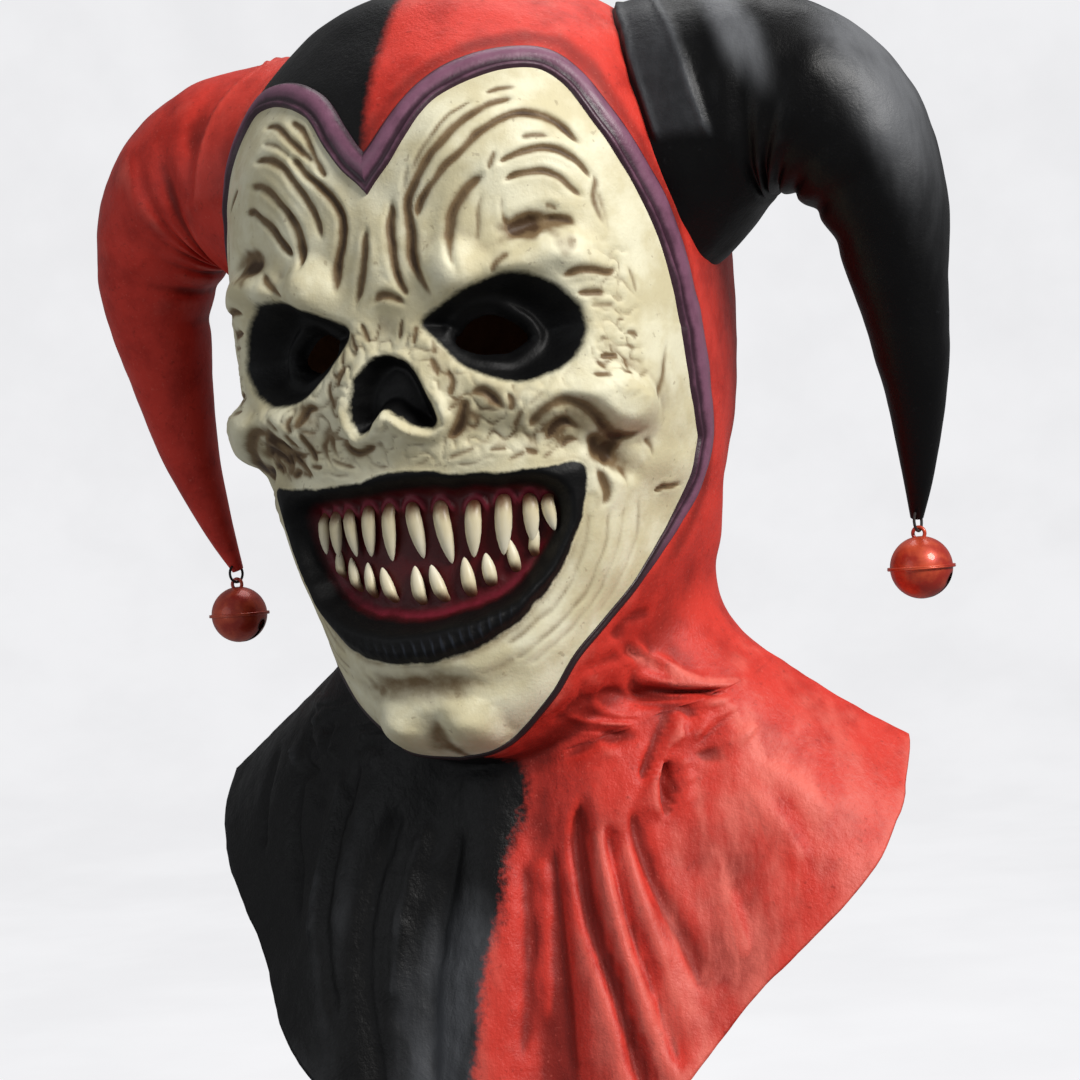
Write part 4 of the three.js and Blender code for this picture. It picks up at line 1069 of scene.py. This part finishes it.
def trim_half(side):
    """Points of the rib on one side, from the mitre at the peak round to the chin, and its attributes."""
    stops = np.array(TRIM_LEAD + TRIM_ROWS, float)
    fine = np.arange(0, len(stops) - 1 + TRIM_STEP / 2, TRIM_STEP)
    along, z, wide = (smooth_value(column, fine) for column in stops.T)
    centre, normal = on_skin(face_grid, face_points, side * along, z)
    way = np.gradient(centre, axis=0)
    across = np.cross(way, normal) * side
    across /= np.linalg.norm(across, axis=1)[:, None]
    thin = 1 - ramp(wide, *TRIM_THIN)
    high = TRIM_HIGH["top"] + (TRIM_HIGH["jaw"] - TRIM_HIGH["top"]) * thin
    lines = []
    for sideways, rise in TRIM_SECTION:
        line = centre + across * (sideways * wide)[:, None] + normal * (rise * high)[:, None]
        crossing = np.argmax(side * line[:, 0] > 0)
        share = line[crossing - 1, 0] / (line[crossing - 1, 0] - line[crossing, 0])
        start = crossing - 1 + share
        order = np.arange(len(line), dtype=float)
        order = start + order * (len(line) - 1 - start) / (len(line) - 1)
        lines.append(np.stack([np.interp(order, np.arange(len(line)), column) for column in line.T], -1))
    points = np.stack(lines, 1)
    points[-1, :, 0] = 0
    crown = np.tile([rise for _, rise in TRIM_SECTION], (len(thin), 1))
    faces = grid_faces(*points.shape[:2], False)
    faces = faces[:, ::-1] if side > 0 else faces
    return points.reshape(-1, 3), faces, crown, np.repeat(thin, len(TRIM_SECTION))


halves = [trim_half(side) for side in (1, -1)]
trim_points = np.concatenate([half[0] for half in halves])
trim_faces = np.concatenate((halves[0][1], halves[1][1] + len(halves[0][0])))
trim_attributes = {"crown": np.concatenate([half[2].ravel() for half in halves]),
                   "thin": np.concatenate([half[3] for half in halves])}
trim = mesh_object("trim", trim_points, trim_faces, trim_attributes, trim_material())
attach(trim, "mask")
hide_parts("mask_shell")

# Teeth: long pointed cones of the casting that stand in two rows of scalloped gums, painted ivory and
# turning darker brown towards the root. The upper ones are the longer.
TOOTH_PROFILE = (  # share of the length, share of the width
    (-0.2, 0.05), (-0.12, 0.7), (0.0, 0.9), (0.14, 1.0), (0.3, 1.05), (0.5, 1.0), (0.7, 0.8), (0.86, 0.52),
    (0.96, 0.26), (1.0, 0.03),
)
TOOTH = {"sides": 14, "thick": 0.8, "sunk": 0.12, "stand": 0.5, "rise": (-0.18, 0.14), "curl": 0.12,
         "curl_from": 0.3, "level": 0.2}
IVORY, IVORY_LIGHT, TOOTH_ROOT = colour(222, 208, 168), colour(246, 240, 218), colour(112, 70, 48)


def tooth_points(along, root, length, wide, lean, way):
    """Rings of one tooth from its sunk root to its tip, with how far along the tooth each lies."""
    found = on_skin(face_grid, face_points, np.array([along]), np.array([root]))
    base, normal = (value[0] for value in found)
    out = normal * (1, 1, TOOTH["level"])
    out /= np.linalg.norm(out)
    up = np.array((0.0, 0.0, way))
    right = np.cross(out, up)
    right /= np.linalg.norm(right)
    up = up * math.cos(math.radians(lean)) + right * math.sin(math.radians(lean)) * way
    turn = np.linspace(0, 2 * math.pi, TOOTH["sides"], endpoint=False)
    rings = []
    for share, girth in TOOTH_PROFILE:
        stand = (TOOTH["stand"] * ramp(share, *TOOTH["rise"]) - TOOTH["sunk"]) * wide
        stand += TOOTH["curl"] * length * (TOOTH["curl_from"] - share) * share
        middle = base + up * share * length + out * stand
        ring = np.cos(turn)[:, None] * right + TOOTH["thick"] * np.sin(turn)[:, None] * out
        rings.append(middle + ring * girth * wide / 2)
    return np.concatenate(rings), np.repeat([share for share, _ in TOOTH_PROFILE], TOOTH["sides"])


def teeth_material():
    material, surface, node = new_material("painted_ivory")
    share = node.attribute("share")
    streak = node.noise(160, 4, (1, 1, 0.25))
    ivory = (streak * 0.5 + share * 0.3).ramp(0.2, 0.7).mix(IVORY, IVORY_LIGHT)
    root = (share + (streak - 0.5) * 0.4).ramp(-0.08, 0.3)
    tone = root.mix(TOOTH_ROOT, ivory)
    rough = 0.3 + streak * 0.2
    feed(material, surface, Base_Color=tone, Roughness=rough, Normal=streak.bump(0.2, 0.0008))
    return material


tooth_rings = [tooth_points(*row, way) for rows, way in ((UPPER_TEETH, -1), (LOWER_TEETH, 1)) for row in rows]
ring_faces = grid_faces(len(TOOTH_PROFILE), TOOTH["sides"], True)
tooth_size = len(TOOTH_PROFILE) * TOOTH["sides"]
tooth_faces = np.concatenate([ring_faces + k * tooth_size for k in range(len(tooth_rings))])
teeth = mesh_object("teeth", np.concatenate([points for points, _ in tooth_rings]), tooth_faces,
                    {"share": np.concatenate([share for _, share in tooth_rings])}, teeth_material())
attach(teeth, "mask")
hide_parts("mask_shell")

# Horns: hollow latex castings glued to the sides of the hood, the left one black and the right one red.
# They droop in an arch to a solid tip, with soft folds under the bend and a raised band at the root.
HORN_NAMES = ("x", "y", "z", "up", "deep")
HORN_ROWS = (
    (40, 10, -92, 64, 52),
    (88, 8, -75, 59, 50),
    (132, 8, -65, 46, 44),
    (163, 11, -80, 37, 36),
    (180, 17, -112, 27.5, 27),
    (182, 26, -150, 20.5, 20),
    (182, 38, -190, 14, 14),
    (177, 50, -226, 7.5, 7.5),
    (172.5, 58, -248, 2.8, 2.8),
)
HORN = dict(zip(HORN_NAMES, np.array(HORN_ROWS, float).T))
HORN_GRID = {"steps": 300, "sides": 170, "ease": 0.9}
HORN_FOLDS = (  # place along the horn, half length, height, degrees round from below, half width in degrees
    (2.25, 0.10, -3.4, 5, 55),
    (2.6, 0.09, -4.0, -5, 60),
    (2.95, 0.10, -3.6, 0, 55),
    (3.35, 0.11, -2.8, 10, 60),
    (3.8, 0.13, -2.2, -15, 55),
    (4.35, 0.15, -1.4, 5, 60),
    (2.15, 0.16, -2.6, -70, 34),
    (1.75, 0.15, -2.2, -110, 36),
    (2.7, 0.2, 1.6, -95, 40),
    (3.5, 0.25, 1.4, -120, 50),
    (5.2, 0.3, -0.9, -60, 50),
)
# Grey of the painted sheen on the black horn.
PAINTED_SHEEN_GREY = colour(118, 120, 124)
STRAP = {"from": 3.0, "to": 22.0, "edge": 1.5, "high": 1.6, "rib": 1.0, "end": (-86, -79), "paint": 0.55,
         "rib_highlight": 0.7}
FOLD_SKEW, FOLD_MOST = 0.0012, 0.35
HORN_CRUMPLE = {"per_mm": 0.03, "falloff": 1.0, "step": 2.0, "layers": 3, "high": 1.1}
FULL_CRUMPLE = 30
HORN_SWELL = {"cells": 8, "full": 1.6}
CLEARANCE = {"places": (0.05, 10), "samples": 400, "drop": (-2, 230), "kept": -1.5}
SHEEN_PATCHES = ((1.1, 9, 46), (1.2, 16, 90))  # strength, half length and middle of the patches of painted sheen
SHEEN_FACING = {"up": (-0.35, 0.5), "front": (-0.4, 0.3)}


def horn_grid():
    """Points of the left horn, their directions outward, and the height of its folds."""
    last = len(HORN_ROWS) - 1
    place = np.linspace(0, last, HORN_GRID["steps"])

    def middle_line(at):
        return np.stack([smooth_value(HORN[name], np.clip(at, 0, last)) for name in "xyz"], -1)

    centre = middle_line(place)
    way = middle_line(place + HORN_GRID["ease"]) - middle_line(place - HORN_GRID["ease"])
    way /= np.linalg.norm(way, axis=1)[:, None]
    deep_way = np.array((0.0, 1.0, 0.0)) - way * way[:, 1:2]
    deep_way /= np.linalg.norm(deep_way, axis=1)[:, None]
    under_way = np.cross(deep_way, way)
    turn = np.linspace(0, 2 * math.pi, HORN_GRID["sides"], endpoint=False)
    place, turn = np.meshgrid(place, turn, indexing="ij")
    fold = np.zeros(place.shape)
    for at, half, height, side, wide in HORN_FOLDS:
        round_way = (np.degrees(turn) - side + 180) % 360 - 180
        skewed = place - at - FOLD_SKEW * round_way
        fold += height * bell_curve(skewed, half) * bell_curve(round_way, wide)
    up = smooth_value(HORN["up"], place)
    deep = smooth_value(HORN["deep"], place)
    rim = under_way[:, None] * (up * np.cos(turn))[..., None]
    rim = rim + deep_way[:, None] * (deep * np.sin(turn))[..., None]
    size = np.linalg.norm(rim, axis=-1)
    fold += crumpled(centre[:, None] + rim, HORN_CRUMPLE) * np.minimum(size / FULL_CRUMPLE, 1)
    fold = np.maximum(fold, -FOLD_MOST * size)
    return centre[:, None] + rim * (1 + fold / size)[..., None], rim / size[..., None], fold


def hood_clearance(points):
    """How far points stand out of the bare hood."""
    fine = np.linspace(*CLEARANCE["places"], CLEARANCE["samples"])
    angle = np.arctan2(points[..., 0], -points[..., 1])
    drop = np.clip(-points[..., 2], *CLEARANCE["drop"])
    place = np.interp(drop, smooth_value(SECTIONS["drop"], fine), fine)
    radius, centre, _ = bare_form(angle, place)
    return np.hypot(points[..., 0], points[..., 1] - centre) - radius


def horn_material(name, is_red):
    material, surface, node = new_material(name)
    ridge, hollow = node.attribute("ridge"), node.attribute("hollow")
    red, black, grain, streak = latex_paint(node, ridge * 0.9, hollow)
    mottle = node.noise(180, 3)
    height = grain * 0.6 + node.noise(800, 3) * 0.4
    rough = 0.42 + (streak - 0.5) * 0.3
    # The strap is painted grey, partly as painted sheen, with painted highlight along its raised edges.
    worn = node.attribute("strap") * (streak * 0.6 + mottle * 0.6)
    # Painted sheen: grey patches on the horn's upper front near the root.
    sheen_share = (node.attribute("rubbed") * (0.4 + streak * 0.9)).ramp(0.1, 1.0) * 0.75
    black = worn.mix(sheen_share.mix(black, PAINTED_SHEEN_GREY), BLACK_SHEEN)
    paint = (worn * 0.25).mix(red, RED_LIGHT) if is_red else black
    feed(material, surface, Base_Color=paint, Roughness=rough, Normal=height.bump(0.3, 0.0012),
         Specular_IOR_Level=0.22)
    return material


def on_side(points, faces, side):
    """A piece made on the mask's left, as it is or mirrored to the right."""
    return points * (side, 1, 1), faces[:, ::-1] if side < 0 else faces


bare_horn, horn_out, horn_fold = horn_grid()
clearance = hood_clearance(bare_horn)
strap_start = (STRAP["from"] - STRAP["edge"], STRAP["from"])
strap = band(clearance, strap_start, (STRAP["to"], STRAP["to"] + STRAP["edge"]))
ribs = sum(bell_curve(clearance, STRAP["edge"], STRAP[end]) for end in ("from", "to"))
strap_end = ramp(bare_horn[..., 2], *STRAP["end"])
strap_high = (STRAP["high"] * strap + STRAP["rib"] * ribs) * strap_end
horn_points = bare_horn + strap_high[..., None] * horn_out
horn_cells = grid_faces(*clearance.shape, True)
horn_cells = horn_cells[np.ravel(clearance)[horn_cells].max(axis=1) > CLEARANCE["kept"]]
horn_swell = np.ravel(horn_fold - blurred(horn_fold, HORN_SWELL["cells"])) / HORN_SWELL["full"]
# Painted sheen: grey patches near the root where the horn faces up and forward, towards the lights.
rubbed = sum(strength * bell_curve(clearance, half, middle) for strength, half, middle in SHEEN_PATCHES)
rubbed *= ramp(horn_out[..., 2], *SHEEN_FACING["up"]) * ramp(-horn_out[..., 1], *SHEEN_FACING["front"])
# Grey of the strap, partly painted sheen, and painted highlight along its raised edges.
strap_grey_and_highlight = np.clip(STRAP["paint"] * strap + STRAP["rib_highlight"] * ribs, 0, 1) * strap_end
horn_attributes = {"ridge": np.clip(horn_swell, 0, 1),
                   "rubbed": np.ravel(np.clip(rubbed, 0, 1)),
                   "hollow": np.clip(-horn_swell, 0, 1),
                   "strap": np.ravel(strap_grey_and_highlight)}
for side, name, is_red in ((1, "left", False), (-1, "right", True)):
    slot = "horn_red" if is_red else "horn_black"
    points, faces = on_side(horn_points.reshape(-1, 3), horn_cells, side)
    skin = used_only(points, faces, horn_attributes)
    horn = mesh_object(f"horn_{name}_skin", *skin, horn_material(slot, is_red))
    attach(horn, "mask")
    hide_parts(f"horn_{name}")

# Thread loops: short threads of two twisted black strands, passed through the horn tips and the bells' eyes
# and tied, each with a cut tail. One hangs each bell.
LOOP = {"wide": 12.0, "tall": 8.6, "thread": 0.42, "twist": 0.26, "turns": 26, "steps": 260}
HANG = np.array((173.03, 57.05, -245.4))
TAIL = ((0, -1.2, 3.2), (1.2, -2.6, 4.6), (3.2, -3.4, 5.2), (5.4, -3.6, 5.0))
TAIL_STEPS = 24
THREAD_DARK, THREAD_LIGHT = colour(16, 15, 15), colour(58, 52, 50)


def thread_curve(name, lines, material):
    """Curve object of round threads along lines of points in millimetres."""
    curve = bpy.data.curves.new(name, "CURVE")
    curve.dimensions = "3D"
    curve.bevel_depth = LOOP["thread"] * MM
    curve.bevel_resolution = 2
    for points, closed in lines:
        spline = curve.splines.new("POLY")
        spline.points.add(len(points) - 1)
        spline.points.foreach_set("co", np.insert(np.asarray(points) * MM, 3, 1, axis=1).ravel())
        spline.use_cyclic_u = closed
    curve.materials.append(material)
    piece = bpy.data.objects.new(name, curve)
    bpy.context.scene.collection.objects.link(piece)
    return piece


def thread_material():
    material, surface, node = new_material("twisted_thread")
    fibre = node.noise(2600, 3)
    tone = fibre.ramp(0.3, 0.7).mix(THREAD_DARK, THREAD_LIGHT)
    feed(material, surface, Base_Color=tone, Roughness=0.6 + fibre * 0.3, Normal=fibre.bump(0.4, 0.0004))
    return material


thread = thread_material()
for side, name in ((1, "left"), (-1, "right")):
    turn = np.linspace(0, 2 * math.pi, LOOP["steps"], endpoint=False)
    drop = LOOP["tall"] / 2 * (np.cos(turn) - 1)
    middle = HANG + np.stack((0 * turn, LOOP["wide"] / 2 * np.sin(turn), drop), -1)
    strands = []
    for phase in (0, math.pi):
        spin = LOOP["turns"] * turn + phase
        wound = np.stack((np.cos(spin), np.sin(spin) * np.sin(turn), np.sin(spin) * np.cos(turn)), -1)
        strands.append(((middle + wound * LOOP["twist"]) * (side, 1, 1), True))
    tail = np.array(TAIL, float)
    fine = np.linspace(0, len(tail) - 1, TAIL_STEPS)
    tail = HANG + np.stack([smooth_value(tail[:, axis], fine) for axis in range(3)], -1)
    strands.append((tail * (side, 1, 1), False))
    loop = thread_curve(f"thread_{name}", strands, thread)
    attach(loop, "mask")
    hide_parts(f"bell_loop_{name}")

# Bells: jingle bells pressed from sheet in two halves, crimped at a flange, with a slot that ends in round
# holes across the lower half and a wire eye on top, painted metallic red.
BELL = {"radius": 13.7, "wall": 1.0, "sides": 96, "rings": 64, "pole": 0.001, "wear": 0.3}
FLANGE = {"wide": 1.3, "thick": 1.5, "bevel": 0.35, "lip": 0.45, "seam": 0.25, "seam_half": 0.05}
BELL_SLOT = {"wide": 1.3, "end": 2.6, "down": 0.42, "away": 9.0, "wear": 1.2}
BELL_EYE = {"hole": 1.8, "wire": 0.85, "sides": 12, "turns": 40}
BELL_RED, BELL_LIGHT, BELL_WORN = colour(176, 44, 28), colour(214, 84, 50), colour(92, 24, 18)
BELL_CENTRE = np.array((173.03, 57.05, -269.97))
EYE_CENTRE = np.array((173.03, 57.05, -255.07))


def bell_material():
    material, surface, node = new_material("metallic_red")
    cloud = node.noise(110, 5)
    flake = node.noise(2400, 2)
    wear = node.attribute("worn")
    tone = cloud.ramp(0.35, 0.65).mix(BELL_RED, BELL_LIGHT)
    tone = (wear * (0.4 + cloud)).ramp(0.3, 0.9).mix(tone, BELL_WORN)
    feed(material, surface, Base_Color=tone, Metallic=0.25, Roughness=0.3 + cloud * 0.16 + flake * 0.06,
         Coat_Weight=0.4, Normal=(flake * 0.4 + cloud).bump(0.08, 0.0006))
    return material


def bell_skin(radius, sign):
    """Rings of the ball with the slot cut in the lower half, the quads that stay, and the slot's wear."""
    lean = np.linspace(-math.pi / 2 + BELL["pole"], math.pi / 2 - BELL["pole"], BELL["rings"])
    turn = np.linspace(0, 2 * math.pi, BELL["sides"], endpoint=False)
    lean, turn = np.meshgrid(lean, turn, indexing="ij")
    points = radius * np.stack((np.cos(lean) * np.cos(turn), np.cos(lean) * np.sin(turn), np.sin(lean)), -1)
    drop = -BELL["radius"] * BELL_SLOT["down"] - points[..., 2]
    slot = np.where(drop > 0, np.abs(points[..., 1]) - BELL_SLOT["wide"], BELL_SLOT["away"])
    slot = np.minimum(slot, np.hypot(drop, points[..., 1]) - BELL_SLOT["end"])
    cells = grid_faces(*lean.shape, True)
    keep = np.ravel(slot)[cells].mean(axis=1) > 0
    points = snapped(points, slot, cells, keep)
    return points.reshape(-1, 3), cells[keep][:, ::sign], np.ravel(bell_curve(slot, BELL_SLOT["wear"]))


def ring_of(profile, turns, plane):
    """Closed ring of a small section: radius and height pairs turned about an axis."""
    turn = np.linspace(0, 2 * math.pi, turns, endpoint=False)
    radius, height = np.array(profile, float).T
    across, deep = np.outer(np.cos(turn), radius), np.outer(np.sin(turn), radius)
    flat = np.stack((across, deep, np.tile(height, (turns, 1))), -1)
    count = len(profile)
    ids = np.arange(turns * count).reshape(turns, count)
    ahead, beside = np.roll(ids, -1, axis=0), np.roll(ids, -1, axis=1)
    faces = np.stack((ids, ahead, np.roll(ahead, -1, axis=1), beside), -1).reshape(-1, 4)
    return flat.reshape(-1, 3)[:, plane], faces


def bell_mesh():
    """Points, faces and wear of a bell about its own centre."""
    half = FLANGE["thick"] / 2
    rim = BELL["radius"] + FLANGE["wide"]
    inner = BELL["radius"] - BELL["wall"] / 2
    upper = [(rim - FLANGE["seam"], FLANGE["seam_half"]), (rim, half * FLANGE["lip"]),
             (rim - FLANGE["bevel"], half), (inner, half)]
    flange = [(radius, -height) for radius, height in reversed(upper)] + upper
    hole, wire = BELL_EYE["hole"], BELL_EYE["wire"]
    turn = np.linspace(0, 2 * math.pi, BELL_EYE["sides"], endpoint=False)
    round_wire = [(hole + wire * (1 + math.cos(t)), wire * math.sin(t)) for t in turn]
    eye_points, eye_faces = ring_of(round_wire, BELL_EYE["turns"], [0, 2, 1])
    eye_points = eye_points + EYE_CENTRE - BELL_CENTRE
    parts = [bell_skin(BELL["radius"], 1), bell_skin(BELL["radius"] - BELL["wall"], -1)]
    for points, faces in (ring_of(flange, BELL["sides"], [0, 1, 2]), (eye_points, eye_faces[:, ::-1])):
        parts.append((points, faces, np.full(len(points), BELL["wear"])))
    start = np.cumsum([0] + [len(points) for points, _, _ in parts])
    faces = np.concatenate([faces + first for (_, faces, _), first in zip(parts, start)])
    worn = np.concatenate([wear for _, _, wear in parts])
    return np.concatenate([points for points, _, _ in parts]), faces, {"worn": worn}


bell_paint = bell_material()
bell_points, bell_faces, bell_wear = used_only(*bell_mesh())
for side, name in ((1, "left"), (-1, "right")):
    points, faces = on_side(bell_points + BELL_CENTRE, bell_faces, side)
    bell = mesh_object(f"bell_{name}_metal", points, faces, bell_wear, bell_paint)
    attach(bell, f"bell_{name}")
    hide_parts(f"bell_{name}")

# Studio: a pale floor that curves up into a wall all round, a large soft key light from the upper right, a
# broad fill and a top light, and the camera at the photograph's place.
STAGE = {"floor": -0.72, "inner": 0.001, "flat": 2.6, "curve": 1.4, "top": 3.2, "sides": 96, "steps": 16}
VIEW = {"yaw": 24, "roll": 4.5, "distance": 1.1, "frame": 0.48, "sensor": 36.0, "beside": 0.016,
        "height": -0.245}
AIR = {"colour": (0.93, 0.94, 0.96, 1), "strength": 0.22}
FLOOR_PAINT = colour(118, 118, 120)
FLOOR_GLOW, FLOOR_GLOW_LIGHT = colour(234, 234, 236), colour(240, 240, 242)
LIGHTS = (  # name, place right of, in front of and above the target, size, power, tint
    ("key", (1.05, 1.15, 1.0), 0.8, 33, (1.0, 0.98, 0.95)),
    ("fill", (-1.5, 1.0, 0.3), 1.4, 4, (0.94, 0.97, 1.0)),
    ("top", (0.2, -0.5, 1.6), 1.2, 9, (1.0, 1.0, 1.0)),
)


def stage_material():
    material, surface, node = new_material("pale_floor")
    tone = node.noise(3).ramp(0.3, 0.7).mix(FLOOR_GLOW, FLOOR_GLOW_LIGHT)
    feed(material, surface, Base_Color=FLOOR_PAINT, Roughness=0.8, Emission_Color=tone,
         Emission_Strength=0.93)
    return material


bend = np.linspace(0, math.pi / 2, STAGE["steps"])
wall_reach = STAGE["flat"] + STAGE["curve"]
floor_reach = np.concatenate(([STAGE["inner"]], STAGE["flat"] + STAGE["curve"] * np.sin(bend), [wall_reach]))
floor_high = np.concatenate(([0], STAGE["curve"] * (1 - np.cos(bend)), [STAGE["top"]])) + STAGE["floor"]
turn = np.linspace(0, 2 * math.pi, STAGE["sides"], endpoint=False)
floor_points = np.stack((np.outer(floor_reach, np.cos(turn)), np.outer(floor_reach, np.sin(turn)),
                         np.tile(floor_high[:, None], (1, STAGE["sides"]))), -1)
floor = mesh_object("studio_floor", floor_points.reshape(-1, 3) / MM,
                    grid_faces(len(floor_reach), STAGE["sides"], True)[:, ::-1], {}, stage_material())
floor.visible_diffuse = False
floor.visible_glossy = False

yaw = math.radians(VIEW["yaw"])
right = Vector((math.cos(yaw), math.sin(yaw), 0))
ahead = Vector((-math.sin(yaw), math.cos(yaw), 0))
target = right * VIEW["beside"] + Vector((0, 0, VIEW["height"]))
for name, (beside, before, above), size, power, tint in LIGHTS:
    lamp = bpy.data.lights.new(name, "AREA")
    lamp.shape = "DISK"
    lamp.size = size
    lamp.energy = power
    lamp.color = tint
    light = bpy.data.objects.new(name, lamp)
    light.location = target + right * beside - ahead * before + Vector((0, 0, above))
    light.rotation_euler = (target - light.location).to_track_quat("-Z", "Y").to_euler()
    bpy.context.scene.collection.objects.link(light)
world = bpy.data.worlds.new("studio_air")
world.use_nodes = True
world.node_tree.nodes["Background"].inputs["Color"].default_value = AIR["colour"]
world.node_tree.nodes["Background"].inputs["Strength"].default_value = AIR["strength"]
bpy.context.scene.world = world
bpy.context.scene.view_settings.view_transform = "Standard"

lens = bpy.data.cameras.new("photograph")
lens.sensor_width = VIEW["sensor"]
lens.lens = VIEW["sensor"] * VIEW["distance"] / VIEW["frame"]
camera = bpy.data.objects.new("photograph", lens)
camera.location = target - ahead * VIEW["distance"]
camera.rotation_euler = ahead.to_track_quat("-Z", "Y").to_euler()
camera.rotation_euler.rotate_axis("Z", -math.radians(VIEW["roll"]))
bpy.context.scene.collection.objects.link(camera)
bpy.context.scene.camera = camera
